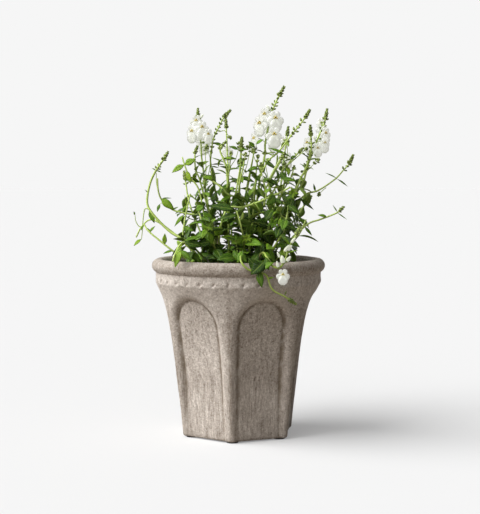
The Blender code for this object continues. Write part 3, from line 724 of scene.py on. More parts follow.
# %% [markdown]
# ## Pads and drain screen
# Six rubber pads keep the foot off the floor, and a plastic mesh lies over the drain hole. Both solids
# already have the right shape, so they stay and only get a finish: worn black rubber with a little dust,
# and a weave made from two crossed sine waves.

# %% Pads and drain screen
def dress_node(name, finish):
    for place in frame["nodes"][name].material_slots:
        place.material = finish.material


rubber = Finish("black rubber", roughness=0.7, specular=0.35)
dust = rubber.noise(180, detail=5)
rubber.colour(rubber.ramp(dust, (0.4, (0.012, 0.012, 0.012)), (0.75, (0.055, 0.052, 0.048))))
rubber.bump(rubber.noise(900, detail=2), 0.15 * MM)
for number in range(1, SIDES + 1):
    dress_node(f"foot_pad_{number}", rubber)

WEAVE = 1.6 * MM
screen = Finish("woven screen", roughness=0.55)
split = screen.node("ShaderNodeSeparateXYZ", Vector=screen.place)
waves = [screen.math("SINE", screen.math("MULTIPLY", axis, math.tau / WEAVE)) for axis in split.outputs[:2]]
strand = screen.math("MAXIMUM", *waves)
screen.colour(screen.ramp(strand, (0.3, (0.008, 0.008, 0.008)), (0.8, (0.075, 0.075, 0.072))))
screen.bump(strand, 0.4 * MM)
dress_node("drain_screen", screen)
print("pads and screen dressed")

# %% [markdown]
# ## Gravel and soil
# Both fill the hollow of the pot. Nobody sees them until the plant is lifted out, and then the root ball
# shows all round. A smooth plug would look like plastic, so each is a spun plug with rough noise pushed
# into it, and loose crumbs are set into its top: twenty-sided stones are enough at that size.

# %% Gravel
GRAVEL_FOOT = 19.6 * MM
GRAVEL_TOP = 45 * MM
GRAVEL_BED = GRAVEL_TOP - 3 * MM
FIT_GAP = 0.3 * MM
PLUG_STEPS = 120


def hollow_plug(foot, top, side_rows, top_rows):
    """A spun plug that fills the hollow between two heights, with a gap all round."""
    bm = bmesh.new()
    line = [(0.0, foot)]
    for height in np.linspace(foot, top, side_rows):
        line.append((float(hollow_radius(height)) - 2 * FIT_GAP, height))
    edge = line[-1][0]
    line += [(edge * share, top) for share in np.linspace(1, 0, top_rows)[1:]]
    verts = [bm.verts.new((radius, 0, height)) for radius, height in line]
    spin_round(bm, verts, PLUG_STEPS)
    return bm


def roughen(bm, top, dip, side):
    """Pushes noise into a plug: hollows in its top, and dents in its sides, and nothing outwards."""
    for vert in bm.verts:
        out = Vector((vert.co.x, vert.co.y, 0))
        coarse = noise.fractal(vert.co / (16 * MM), 0.8, 2.1, 4)
        fine = noise.noise(vert.co / (4 * MM))
        hollow = min(1.0, max(0.0, 0.5 + 0.6 * coarse + 0.3 * fine))
        if vert.co.z > top - MM * 0.1 and out.length > 0:
            vert.co.z -= dip * hollow
        elif out.length > 0:
            vert.co -= out.normalized() * side * hollow


def strew(bm, count, reach, level, sizes, seed, slot):
    """Sets small angular stones into a surface, each turned and squashed its own way."""
    pick = random.Random(seed)
    for _ in range(count):
        size = pick.uniform(*sizes)
        out = reach * math.sqrt(pick.random())
        turn = pick.uniform(0, math.tau)
        sunk = size * pick.uniform(0.1, 0.5)
        place = Matrix.Translation((out * math.cos(turn), out * math.sin(turn), level - sunk))
        tilt = Matrix.Rotation(pick.uniform(0, math.tau), 4, Vector((pick.random(), pick.random(), 1)))
        flat = (pick.uniform(0.8, 1.3), pick.uniform(0.7, 1.1), pick.uniform(0.5, 0.8), 1)
        squash = Matrix.Diagonal(flat)
        made = bmesh.ops.create_icosphere(bm, subdivisions=1, radius=size, matrix=place @ tilt @ squash)
        for vert in made["verts"]:
            for face in vert.link_faces:
                face.material_index = slot


gravel_finish = Finish("crushed gravel", roughness=0.85, specular=0.3)
tint = gravel_finish.cells(170)
gravel_finish.colour(gravel_finish.mix(
    gravel_finish.noise(420, detail=4),
    gravel_finish.ramp(
        tint, (0.1, (0.16, 0.145, 0.13)), (0.5, (0.36, 0.33, 0.29)), (0.9, (0.22, 0.16, 0.12))
    ),
    (0.30, 0.27, 0.24),
))
gravel_finish.bump(gravel_finish.noise(700, detail=3), 0.5 * MM)
bm = hollow_plug(GRAVEL_FOOT, GRAVEL_BED, side_rows=14, top_rows=16)
roughen(bm, GRAVEL_BED, dip=1.5 * MM, side=0.6 * MM)
strew(
    bm, count=420, reach=hollow_radius(GRAVEL_TOP) - 7 * MM, level=GRAVEL_TOP - 3.2 * MM,
    sizes=(2.6 * MM, 5.2 * MM), seed=3, slot=0,
)
gravel = add_piece("gravel_bed", bm, [gravel_finish], "planter", ["gravel_layer"])
gravel.data.shade_flat()
print("gravel faces:", len(gravel.data.polygons))

# %% Soil
soil_finish = Finish("potting soil", roughness=1.0, specular=0.1)
crumb = soil_finish.noise(260, detail=6, rough=0.75)
roots = soil_finish.noise(150, detail=3, stretch=(1, 1, 0.25))
earth = soil_finish.ramp(
    crumb, (0.35, (0.010, 0.007, 0.005)), (0.55, (0.040, 0.026, 0.017)), (0.75, (0.095, 0.065, 0.042))
)
soil_finish.colour(soil_finish.mix(
    soil_finish.ramp(roots, (0.64, 0.0), (0.69, 0.75)), earth, (0.42, 0.34, 0.24)
))
soil_finish.bump(crumb, 1.6 * MM)
perlite = Finish("perlite", roughness=0.9)
perlite.colour(perlite.ramp(perlite.noise(600), (0.3, (0.50, 0.47, 0.42)), (0.7, (0.72, 0.70, 0.66))))
perlite.bump(perlite.noise(900), 0.4 * MM)
bm = hollow_plug(GRAVEL_TOP + FIT_GAP, SOIL_TOP, side_rows=70, top_rows=34)
roughen(bm, SOIL_TOP, dip=3.2 * MM, side=1.4 * MM)
soil_reach = hollow_radius(SOIL_TOP) - 8 * MM
soil_level = SOIL_TOP - 0.8 * MM
strew(bm, count=260, reach=soil_reach, level=soil_level, sizes=(1.2 * MM, 3.4 * MM), seed=5, slot=0)
strew(bm, count=60, reach=soil_reach, level=soil_level, sizes=(0.8 * MM, 1.7 * MM), seed=11, slot=1)
soil = add_piece("root_ball", bm, [soil_finish, perlite], "planting", ["potting_soil"])
print("soil faces:", len(soil.data.polygons))

# %% [markdown]
# ## Finishes for the plant
# The leaves are dark and a little glossy above and paler below, and young growth is lighter than old.
# Many materials could do that, but one is easier to keep in tune: every leaf carries a "shade" value,
# from 0 for old leaves deep inside to 1 for young ones in the light, and a ramp turns it into a green.
# Besides age, the value holds painted light and shade: leaves high up and far out are lighter, and those
# deep inside darker.
# The veins follow each leaf's own UV map, across and along the blade.

# %% Plant finishes
STEM, TOP, UNDER, BUD, PETAL, THROAT = range(6)
# The strength of the petals' glow, a painted light.
PETAL_GLOW = 0.36


def leaf_finish(name, dark, middle, light, rib, roughness):
    finish = Finish(name, roughness, specular=0.16)
    finish.glow_through(0.2, 1.5 * MM, (1.0, 1.0, 0.4))
    mottle = finish.noise(150, detail=3)
    across, along = finish.uv()
    from_rib = finish.math("ABSOLUTE", finish.math("SUBTRACT", across, 0.5))
    value = finish.blend((finish.attribute("shade"), 0.8), (mottle, 0.4))
    green = finish.ramp(value, (0.2, dark), (0.6, middle), (1.0, light))
    midrib = finish.ramp(from_rib, (0.0, 0.6), (0.06, 0.0))
    side_veins = finish.math("SINE", finish.blend((along, 44.0), (from_rib, -30.0)))
    vein = finish.math("MAXIMUM", midrib, finish.math("MULTIPLY", side_veins, 0.14))
    finish.colour(finish.mix(vein, green, rib))
    finish.bump(finish.blend((side_veins, 0.5), (mottle, 0.6), (midrib, -0.8)), 0.3 * MM)
    return finish


leaf_top = leaf_finish(
    "leaf, upper side", (0.010, 0.038, 0.003), (0.112, 0.248, 0.010), (0.330, 0.495, 0.042),
    rib=(0.33, 0.46, 0.08), roughness=0.38,
)
leaf_under = leaf_finish(
    "leaf, lower side", (0.075, 0.150, 0.020), (0.210, 0.320, 0.050), (0.400, 0.510, 0.120),
    rib=(0.44, 0.54, 0.16), roughness=0.55,
)
stem_finish = Finish("stem", roughness=0.5, specular=0.4)
bark = stem_finish.noise(90, detail=4, stretch=(1, 1, 0.3))
young = stem_finish.blend((stem_finish.attribute("shade"), 0.85), (bark, 0.3))
stem_finish.colour(stem_finish.ramp(
    young,
    (0.0, (0.230, 0.185, 0.105)), (0.18, (0.150, 0.180, 0.035)),
    (0.5, (0.290, 0.390, 0.060)), (0.95, (0.500, 0.640, 0.170)),
))
stem_finish.bump(stem_finish.noise(400, stretch=(1, 1, 0.2)), 0.25 * MM)
bud_finish = Finish("bud", roughness=0.55, specular=0.35)
bud_value = bud_finish.blend((bud_finish.attribute("shade"), 0.7), (bud_finish.noise(350), 0.5))
bud_finish.colour(bud_finish.ramp(
    bud_value, (0.2, (0.045, 0.075, 0.014)), (0.6, (0.170, 0.230, 0.042)), (1.0, (0.400, 0.490, 0.130))
))
bud_finish.bump(bud_finish.noise(800), 0.3 * MM)
petal_finish = Finish("petal", roughness=0.6, specular=0.25)
petal_finish.glow_through(0.7, 5 * MM, (1.0, 1.0, 1.0))
# The petals glow a little: painted light that stands for light passing through them and softens their
# shading.
petal_finish.shader.inputs["Emission Color"].default_value = (0.92, 0.94, 0.86, 1)
petal_finish.shader.inputs["Emission Strength"].default_value = PETAL_GLOW
_, petal_along = petal_finish.uv()
petal_base = petal_finish.mix(
    petal_finish.noise(220, detail=3), (0.37, 0.375, 0.35), (0.43, 0.432, 0.41)
)
petal_finish.colour(petal_finish.mix(
    petal_finish.ramp(petal_along, (0.02, 0.55), (0.35, 0.0)), petal_base, (0.34, 0.38, 0.20)
))
petal_finish.bump(petal_finish.noise(260, detail=3), 0.5 * MM)
throat_finish = Finish("flower throat", roughness=0.6)
throat_finish.colour(throat_finish.ramp(
    throat_finish.noise(700, detail=2),
    (0.35, (0.42, 0.25, 0.04)), (0.5, (0.66, 0.52, 0.10)), (0.7, (0.72, 0.66, 0.30)),
))
throat_finish.bump(throat_finish.noise(900), 0.3 * MM)
PLANT_FINISHES = [stem_finish, leaf_top, leaf_under, bud_finish, petal_finish, throat_finish]
print("plant finishes:", len(PLANT_FINISHES))

# %% [markdown]
# ## Leaf, petal and bud, made once
# A plant has hundreds of leaves and no two lie alike. Modelling each is out of the question, and plain
# instances would all be the same. So one flat blade of unit size is made from a grid, doubled into a thin
# closed lens and drawn in to a leaf's outline. Each copy is then bent along its own arc, folded along
# its midrib and stretched to its own length and width. A bud is a small spun shape that bends the same way.

# %% Templates
LEAF_PROFILE = (
    (0.0, 0.10), (0.07, 0.15), (0.18, 0.58), (0.34, 1.0),
    (0.52, 0.95), (0.72, 0.66), (0.89, 0.29), (1.0, 0.04),
)
PETAL_PROFILE = ((0.0, 0.30), (0.2, 0.62), (0.45, 0.95), (0.65, 1.0), (0.85, 0.80), (1.0, 0.34))
BUD_PROFILE = ((0.0, 0.0), (0.30, 0.06), (0.48, 0.30), (0.44, 0.58), (0.22, 0.88), (0.0, 1.0))
BUD_SIDES = 6
TEMPLATE_TOUCHING = 0.001
LEAST_BEND = 0.01


class Template:
    """A small mesh of unit size that is set into the plant many times, each time bent its own way."""

    def __init__(self, name, bm):
        bm.verts.layers.float.new("shade")
        self.mesh = bpy.data.meshes.new(name)
        bm.to_mesh(self.mesh)
        bm.free()
        rest = np.zeros(len(self.mesh.vertices) * 3, np.float32)
        self.mesh.vertices.foreach_get("co", rest)
        self.rest = rest.reshape(-1, 3).astype(float)

    def set_into(self, bm, points, shade):
        self.mesh.vertices.foreach_set("co", points.astype(np.float32).ravel())
        self.mesh.attributes["shade"].data.foreach_set("value", np.full(len(points), shade, np.float32))
        bm.from_mesh(self.mesh)


def make_blade(name, profile, across, along, top, under):
    bm = bmesh.new()
    uv = bm.loops.layers.uv.new("UVMap")
    bmesh.ops.create_grid(bm, x_segments=across, y_segments=along, size=0.5)
    bmesh.ops.translate(bm, verts=bm.verts, vec=(0, 0.5, 0))
    for face in bm.faces:
        face.material_index = top
        for loop in face.loops:
            loop[uv].uv = (loop.vert.co.x + 0.5, loop.vert.co.y)
    copied = bmesh.ops.duplicate(bm, geom=bm.verts[:] + bm.edges[:] + bm.faces[:])["geom"]
    lower = [item for item in copied if isinstance(item, bmesh.types.BMFace)]
    bmesh.ops.reverse_faces(bm, faces=lower)
    for face in lower:
        face.material_index = under
    below = {vert for face in lower for vert in face.verts}
    for vert in bm.verts:
        if not vert.is_boundary:
            vert.co.z = -0.5 if vert in below else 0.5
    bmesh.ops.remove_doubles(bm, verts=bm.verts, dist=TEMPLATE_TOUCHING)
    places, widths = zip(*profile)
    for vert in bm.verts:
        vert.co.x *= np.interp(vert.co.y, places, widths)
    return Template(name, bm)


def make_bud(name, slot):
    bm = bmesh.new()
    bm.loops.layers.uv.new("UVMap")
    verts = [bm.verts.new((radius, along, 0)) for radius, along in BUD_PROFILE]
    spin_round(bm, verts, BUD_SIDES, axis=(0, 1, 0), touching=TEMPLATE_TOUCHING)
    for face in bm.faces:
        face.material_index = slot
    return Template(name, bm)


def unit(vector):
    return np.asarray(vector, float) / max(np.linalg.norm(vector), 1e-9)


def bent(rest, foot, along, face, length, width, bend=0.3, fold=0.0, thick=0.5 * MM):
    """Takes points of a unit blade to their place: along an arc that curls back, folded at the midrib."""
    along = unit(along)
    face = unit(np.asarray(face) - along * np.dot(face, along))
    side = np.cross(along, face)
    across, share, over = rest.T
    curl = bend if abs(bend) > LEAST_BEND else LEAST_BEND
    swept = (curl * share)[:, None]
    centre = foot + length / curl * (np.sin(swept) * along - (1 - np.cos(swept)) * face)
    normal = np.cos(swept) * face + np.sin(swept) * along
    lift = (np.abs(across) * width * math.sin(fold) + over * thick)[:, None]
    return centre + (across * width * math.cos(fold))[:, None] * side + lift * normal


leaf = make_blade("leaf", LEAF_PROFILE, across=4, along=7, top=TOP, under=UNDER)
petal = make_blade("petal", PETAL_PROFILE, across=4, along=5, top=PETAL, under=PETAL)
green_bud = make_bud("bud", BUD)
pale_bud = make_bud("opening bud", PETAL)
throat = make_bud("throat", THROAT)
print("leaf has", len(leaf.mesh.polygons), "faces, bud has", len(green_bud.mesh.polygons))

# %% [markdown]
# ## Where the stems run
# The stems have to stand where the frame has them, because their solids are what collides. So their
# routes are the same points, smoothed and pushed apart by the same rule. On the real plant each stem
# finds its own room too, and none grows through another.

# %% Routes
ROUTES = (
    ("left_arch", 0, ((-30, 10), (-56, 0, 3), (-79, -10, 26), (-98, -20, 38), (-121, -30, 61),
     (-129, -35, 77), (-125, -35, 103), (-116, -30, 122), (-106, -25, 136), (-99, -20, 147))),
    ("left_middle", 0, ((-22, -5), (-35, -8, 20), (-46, -12, 55), (-73, -15, 62), (-92, -18, 67),
     (-107, -20, 80), (-112, -15, 94), (-113, -12, 111))),
    ("left_upright", 0, ((-40, 15), (-62, 22, 12), (-75, 25, 31), (-74, 25, 49), (-72, 22, 62),
     (-66, 20, 90))),
    ("left_low", 0, ((-38, 26), (-64, 24, -4), (-87, 20, 9), (-108, 15, 25), (-124, 10, 38),
     (-131, 5, 48))),
    ("left_far", 0, ((-36, -14), (-68, -26, 12), (-98, -42, 38), (-124, -56, 52), (-139, -68, 42),
     (-148, -76, 26))),
    ("front_left", 0, ((-30, 36), (-50, 54, 7), (-66, 70, 23), (-76, 84, 24), (-83, 99, 12),
     (-86, 106, 2))),
    ("leaf_pair", 0, ((-14, 16), (-43, 22, 47), (-54, 22, 95), (-67, 20, 113), (-74, 18, 130),
     (-77, 16, 140))),
    ("flowers_1", 46, ((-10, -10), (-41, -5, 63), (-46, -5, 94), (-48, -5, 116), (-51, -5, 140),
     (-52, -4, 161), (-55, -4, 183), (-56, -4, 206))),
    ("bowed", 0, ((-18, 0), (-40, 6, 63), (-48, 6, 89), (-54, 6, 111), (-59, 6, 123),
     (-60, 6, 143), (-57, 5, 154))),
    ("buds_left", 0, ((-4, -18), (-32, -20, 93), (-36, -20, 108), (-39, -20, 135), (-38, -20, 146),
     (-35, -20, 166), (-28, -20, 181), (-21, -20, 195), (-12, -18, 205))),
    ("middle", 0, ((-12, 22), (-14, 26, 82), (-16, 26, 123), (-22, 26, 141), (-25, 26, 151),
     (-18, 26, 160))),
    ("middle_bud", 0, ((12, -26), (2, -28, 82), (3, -28, 130), (5, -28, 167))),
    ("crossing", 0, ((14, 28), (16, 40, 50), (10, 42, 79), (0, 42, 85), (-13, 42, 89),
     (-25, 40, 100), (-36, 38, 108), (-46, 36, 112))),
    ("front_bright", 0, ((-22, 42), (-26, 52, 30), (-15, 56, 69), (6, 56, 72), (27, 56, 79),
     (43, 55, 86), (59, 54, 93), (70, 52, 99))),
    ("flowers_2", 84, ((10, -16), (26, -15, 79), (30, -15, 108), (37, -15, 144), (37, -15, 155),
     (39, -15, 167), (44, -15, 193), (51, -14, 214), (63, -12, 237))),
    ("buds_right", 0, ((18, -6), (23, 5, 95), (33, 5, 120), (43, 5, 137), (55, 5, 147),
     (73, 5, 170), (91, 5, 193), (98, 5, 204))),
    ("zigzag", 0, ((24, 10), (48, 20, 68), (46, 20, 83), (44, 20, 95), (42, 20, 107), (53, 20, 129),
     (63, 20, 145))),
    ("right_middle", 0, ((28, -2), (58, -5, 82), (65, -5, 109), (68, -5, 129), (89, -5, 152))),
    ("flowers_3", 42, ((24, -20), (67, -20, 67), (76, -20, 82), (90, -20, 104), (93, -20, 112),
     (98, -20, 131), (106, -20, 152), (111, -20, 166), (120, -20, 187), (124, -20, 206))),
    ("buds_far", 0, ((32, -12), (72, -5, 75), (83, -5, 101), (87, -5, 112), (93, -5, 123),
     (101, -5, 150), (101, -5, 165), (100, -5, 183))),
    ("right_far", 0, ((36, 2), (64, -16, 50), (92, -30, 86), (111, -35, 93), (125, -40, 101),
     (140, -45, 112), (149, -48, 122), (158, -50, 132), (163, -50, 143))),
    ("right_low", 0, ((38, 14), (66, 18, 20), (94, 20, 47), (111, 20, 54), (122, 20, 58),
     (136, 20, 64), (144, 20, 71))),
    ("flowers_4", 62, ((22, 46), (28, 78, 5), (33, 100, 13), (39, 119, 5), (46, 124, -4),
     (55, 123, -4), (61, 118, 5), (66, 111, 20), (73, 103, 31), (81, 93, 46))),
    ("front_trailing", 0, ((0, 52), (2, 80, 6), (3, 104, 14), (4, 122, 2), (14, 124, -8),
     (27, 122, -11), (37, 120, -16), (42, 117, -30), (48, 114, -37), (61, 109, -44), (75, 101, -54))),
    ("front_1", 0, ((-12, 34), (-30, 60, 15), (-45, 70, 45), (-55, 66, 73))),
    ("front_2", 0, ((6, 38), (8, 62, 17), (4, 74, 45), (-2, 72, 67))),
    ("front_3", 0, ((24, 32), (45, 56, 13), (60, 66, 40), (66, 62, 65))),
    ("front_4", 0, ((32, 26), (62, 40, 11), (82, 46, 35), (92, 42, 55))),
    ("back_1", 0, ((-30, -22), (-52, -40, 30), (-70, -60, 75), (-78, -74, 120))),
    ("back_2", 0, ((-22, -32), (-36, -60, 35), (-46, -90, 85), (-50, -110, 115))),
    ("flowers_5", 44, ((-8, -34), (-10, -66, 40), (-14, -84, 105), (-16, -90, 150),
     (-18, -94, 196))),
    ("back_3", 0, ((8, -36), (14, -60, 35), (20, -90, 80), (24, -116, 100))),
    ("flowers_6", 44, ((22, -34), (44, -56, 35), (60, -70, 95), (66, -75, 140), (72, -78, 184))),
    ("back_4", 0, ((36, -24), (66, -44, 30), (90, -66, 65), (106, -86, 85))),
    ("back_trailing", 0, ((2, -50), (4, -80, 7), (6, -104, 14), (10, -122, 0), (14, -124, -25),
     (18, -122, -44))),
)
SAMPLES = 36
PUSH_ROUNDS, PUSH_SHARE, PUSH_SMOOTHING = 60, 0.5, 3
STEM_WIDTH = 3 * MM
STEM_GAP = 2.2 * MM
print("routes:", len(ROUTES))

# %% Stems from routes
HEADING_STEP = 2 * MM
SEEN_STEPS = 160
# The picture's directions as arrays: to the right, toward the camera, and up.
RIGHTWARD, FORWARD, UPWARD = (np.array(way) for way in (ACROSS, TOWARD, UP))


def spread_evenly(points, count):
    steps = np.linalg.norm(np.diff(points, axis=0), axis=1)
    along = np.concatenate([[0.0], np.cumsum(steps)])
    wanted = np.linspace(0.0, along[-1], count)
    return np.stack([np.interp(wanted, along, points[:, axis]) for axis in range(3)], axis=1)


def set_out(route):
    """A route from the soil to its tip as evenly spaced points, across, away from the seen side, and up."""
    across, toward = route[0]
    points = [(across * MM, -toward * MM, SOIL_TOP + FIT_GAP)]
    points += [(across * MM, -toward * MM, POT_TOP + up * MM) for across, toward, up in route[1:]]
    return spread_evenly(smooth_line(points), SAMPLES)


def push_apart(curves):
    """Moves stems sideways, a little at a time, until each clears its neighbours."""
    curves = np.stack(curves)
    clear = STEM_WIDTH * math.sqrt(2) + STEM_GAP
    owner = np.repeat(np.arange(len(curves)), SAMPLES)
    for _ in range(PUSH_ROUNDS):
        points = curves.reshape(-1, 3)
        apart = points[:, None] - points[None]
        distance = np.linalg.norm(apart, axis=2)
        distance[owner[:, None] == owner[None]] = 1.0
        short = np.clip(clear - distance, 0.0, None)
        away = apart / np.maximum(distance, MM * 0.1)[..., None]
        away[..., 2] = 0.0
        push = (away * short[..., None]).sum(axis=1).reshape(curves.shape) * PUSH_SHARE
        for _ in range(PUSH_SMOOTHING):
            push[:, 1:-1] = (push[:, :-2] + 2 * push[:, 1:-1] + push[:, 2:]) / 4
        curves += push
    return curves


class Stem:
    """A line that bears leaves, with its bmesh and the place along it where a flower spike starts."""

    def __init__(self, name, line, spike=0.0, bm=None):
        self.name = name
        self.line = line
        self.along = np.concatenate([[0.0], np.cumsum(np.linalg.norm(np.diff(line, axis=0), axis=1))])
        self.length = self.along[-1]
        self.spike_at = self.length - spike
        self.bm = bmesh.new() if bm is None else bm
        self.spike_bm = bmesh.new() if spike else None

    def at(self, place):
        return np.array([np.interp(place, self.along, self.line[:, axis]) for axis in range(3)])

    def heading(self, place):
        return unit(self.at(place + HEADING_STEP) - self.at(place - HEADING_STEP))

    def holder(self, place):
        """The bmesh that a leaf or flower at this place belongs to."""
        return self.spike_bm if self.spike_bm and place >= self.spike_at else self.bm

    def nearest_seen(self, point):
        """The place along the stem that lies nearest to a point as the camera sees it."""
        places = np.linspace(0, self.length, SEEN_STEPS)
        apart = np.array([self.at(place) for place in places]) - np.array(point)
        apart -= np.outer(apart @ FORWARD, FORWARD)
        return places[np.argmin(np.linalg.norm(apart, axis=1))]


turn_round = np.array(Matrix.Rotation(VIEW_TURN, 3, "Z"))
stems = {}
for (name, spike, _), curve in zip(ROUTES, push_apart([set_out(route) for _, _, route in ROUTES])):
    line = smooth_line(curve @ turn_round.T, per_span=3)
    stems[name] = Stem(name, line, spike * MM)
print("stems:", len(stems), f"together {sum(stem.length for stem in stems.values()):.1f} m")

# %% [markdown]
# ## Room to grow
# Leaves on a real plant push each other aside. Here each leaf tries a few ways to lie and takes the first
# that has room: a coarse sheet of twelve points stands for the leaf, and it may touch no earlier sheet, no
# stem, no soil and no stone. The sheets also keep clear of the rim when the plant is lifted straight out.

# %% Room
REACH_ACROSS = 162 * MM
REACH_DEEP = 131 * MM
REACH_UP = 240 * MM
SHEET_ROWS = (0.2, 0.42, 0.7, 0.97)
SHEET_GAP = 0.8 * MM
STRETCH = 4
ROOM_ASKEW = (0.3, 0.2, 0.9)
# The room that a stem or a twig takes, as a share of its width, so that leaves can start on it.
STEM_ROOM, TWIG_ROOM = 0.7, 0.5


def sheet_rest(profile):
    places, widths = zip(*profile)
    return np.array([
        (across * np.interp(row, places, widths), row, 0.0)
        for row in SHEET_ROWS for across in (-0.5, 0.0, 0.5)
    ])


LEAF_SHEET = sheet_rest(LEAF_PROFILE)
SHEET_FACES = [
    (row * 3 + column, row * 3 + column + 1, row * 3 + column + 4, row * 3 + column + 3)
    for row in range(3) for column in range(2)
]


def clear_of_pot(points):
    """Whether points keep off the soil, off the rim, and within the plant's reach."""
    out = np.hypot(points[:, 0], points[:, 1])
    up = points[:, 2]
    in_soil = (out < RIM_RADIUS) & (up < SOIL_TOP + SHEET_GAP)
    in_rim = (out > MOUTH_RADIUS - SHEET_GAP) & (out < RIM_RADIUS + SHEET_GAP) & (up < POT_TOP + SHEET_GAP)
    too_wide = np.abs(points @ RIGHTWARD) > REACH_ACROSS
    too_deep = np.abs(points @ FORWARD) > REACH_DEEP
    return not np.any(in_soil | in_rim | too_wide | too_deep | (up > POT_TOP + REACH_UP))


class Room:
    """The sheets and stems that already take up room."""

    def __init__(self):
        self.trees, self.middles, self.reaches = [], [], []

    def free(self, points, faces):
        middle = points.mean(axis=0)
        reach = np.linalg.norm(points - middle, axis=1).max()
        tree = BVHTree.FromPolygons(points.tolist(), faces)
        if self.trees:
            apart = np.linalg.norm(np.array(self.middles) - middle, axis=1)
            for index in np.nonzero(apart < np.array(self.reaches) + reach)[0]:
                if tree.overlap(self.trees[index]):
                    return None
        return tree, middle, reach

    def take(self, tree, middle, reach):
        self.trees.append(tree)
        self.middles.append(middle)
        self.reaches.append(reach)

    def take_line(self, line, width):
        """Stands a thin three-sided tube for each short stretch of a stem."""
        for start, end in zip(line[:-STRETCH:STRETCH], line[STRETCH::STRETCH]):
            side = unit(np.cross(end - start, ROOM_ASKEW)) * width / 2
            over = unit(np.cross(end - start, side)) * width / 2
            ring = [side, over - side / 2, -over - side / 2]
            points = np.array([start + corner for corner in ring] + [end + corner for corner in ring])
            tree = BVHTree.FromPolygons(points.tolist(), [(0, 1, 4, 3), (1, 2, 5, 4), (2, 0, 3, 5)])
            middle = points.mean(axis=0)
            self.take(tree, middle, np.linalg.norm(points - middle, axis=1).max())


room = Room()
for stem in stems.values():
    room.take_line(stem.line, STEM_WIDTH * STEM_ROOM)
print("stretches of stem that take up room:", len(room.trees))

# %% [markdown]
# ## Stems and twigs
# A stem is a round shoot that thins toward its tip and swells a little at each node. A curve with a bevel
# would make a tube, but not the swellings, so a small circle is drawn along the line, ring by ring, with a
# width of its own at each. Below the soil it goes on for a few millimetres, so it grows out of it.

# %% Stems and twigs
TUBE_SIDES = 6
OLD_WOOD = {
    "flowers_4": 0.5, "front_trailing": 0.5, "front_1": 0.5, "front_2": 0.6, "front_3": 0.5, "front_4": 0.5,
}
BURIED = 6 * MM
NODE_SWELL, NODE_REACH = 0.28, 1.8 * MM
SPIKE_OVERLAP, SPIKE_SLIM = 3 * MM, 0.98


def draw_tube(bm, line, widths, shades):
    """Draws a closed tube along a line into a bmesh."""
    tube = bmesh.new()
    tube.loops.layers.uv.new("UVMap")
    shade_layer = tube.verts.layers.float.new("shade")
    bmesh.ops.create_circle(tube, cap_ends=True, segments=TUBE_SIDES, radius=0.5)
    top = tube.faces[:][0]
    corners = [(vert.co.x, vert.co.y) for vert in top.verts]
    headings = np.gradient(line, axis=0)
    side = np.array((1.0, 0.2, 0.1))
    for index, (centre, heading) in enumerate(zip(line, headings)):
        heading = unit(heading)
        side = unit(side - heading * np.dot(side, heading))
        over = np.cross(heading, side)
        if index:
            top = bmesh.ops.extrude_discrete_faces(tube, faces=[top])["faces"][0]
        for vert, (x, y) in zip(top.verts, corners):
            vert.co = centre + (side * x + over * y) * widths[index]
            vert[shade_layer] = shades[index]
        if index == 0:
            top.copy()
    bmesh.ops.remove_doubles(tube, verts=tube.verts, dist=TOUCHING)
    bmesh.ops.recalc_face_normals(tube, faces=tube.faces)
    for face in tube.faces:
        face.material_index = STEM
    mesh = bpy.data.meshes.new("tube")
    tube.to_mesh(mesh)
    tube.free()
    bm.from_mesh(mesh)
    bpy.data.meshes.remove(mesh)


def draw_stem(stem, foot_width, tip_width, nodes):
    """Draws a stem, and its spike as a piece of its own, with a swelling at each node."""
    share = stem.along / stem.length
    widths = foot_width + (tip_width - foot_width) * share
    for node in nodes:
        widths = widths * (1 + NODE_SWELL * bell(stem.along - node, NODE_REACH))
    shades = np.clip(0.25 + 0.9 * share + 0.15 * np.sin(stem.along * 90), 0, 1)
    shades = shades - OLD_WOOD.get(stem.name, 0.0) * (1 - 0.6 * share)
    low = stem.along <= stem.spike_at
    buried = np.vstack([stem.line[0] - np.array((0, 0, BURIED)), stem.line[low]])
    draw_tube(stem.bm, buried, np.append(widths[0], widths[low]), np.append(shades[0], shades[low]))
    if stem.spike_bm:
        high = stem.along >= stem.spike_at - SPIKE_OVERLAP
        draw_tube(stem.spike_bm, stem.line[high], widths[high] * SPIKE_SLIM, shades[high])


def draw_twig(bm, points, width, tip_share=0.6, shade=0.7):
    """Draws a thin shoot through a few points and returns its line."""
    line = smooth_line(points, per_span=6)
    share = np.linspace(0, 1, len(line))
    draw_tube(bm, line, width * (1 + (tip_share - 1) * share), np.full(len(line), shade))
    return line


print("tubes have", TUBE_SIDES, "sides")

# %% [markdown]
# ## Leaves, buds and flowers
# Each kind is a function that takes a place and a direction. A leaf tries its ways to lie, a bud sits in
# the angle of a leaf, and a flower is made the way the real one is: a broad lower lip, two side lobes, two
# upper lobes, a yellow throat and a green calyx on a short stalk.

# %% Leaves and buds
DENSE_TIP, DENSE_STEP = 13 * MM, 2.0 * MM
LOOSE_STEPS = (4.2, 6.0)
BUD_ASKEW = (0.4, 0.3, 0.85)
BUD_STALK = 0.8 * MM


def place_leaf(bm, foot, along, face, length, width, shade, bend, fold, must=False):
    """Sets a leaf at a place if it has room, and says whether it did."""
    sheet = bent(LEAF_SHEET, foot, along, face, length, width, bend, fold)
    if not clear_of_pot(sheet):
        return False
    found = room.free(sheet, SHEET_FACES)
    if found is None and not must:
        return False
    if found:
        room.take(*found)
    thick = 0.05 * width + 0.25 * MM
    leaf.set_into(bm, bent(leaf.rest, foot, along, face, length, width, bend, fold, thick), shade)
    return True


def place_bud(bm, template, foot, along, length, width, shade, bend=0.2):
    face = UPWARD if abs(unit(along)[2]) < 0.9 else FORWARD
    points = bent(template.rest, foot, along, face, length, width, bend, thick=width)
    template.set_into(bm, points, shade)


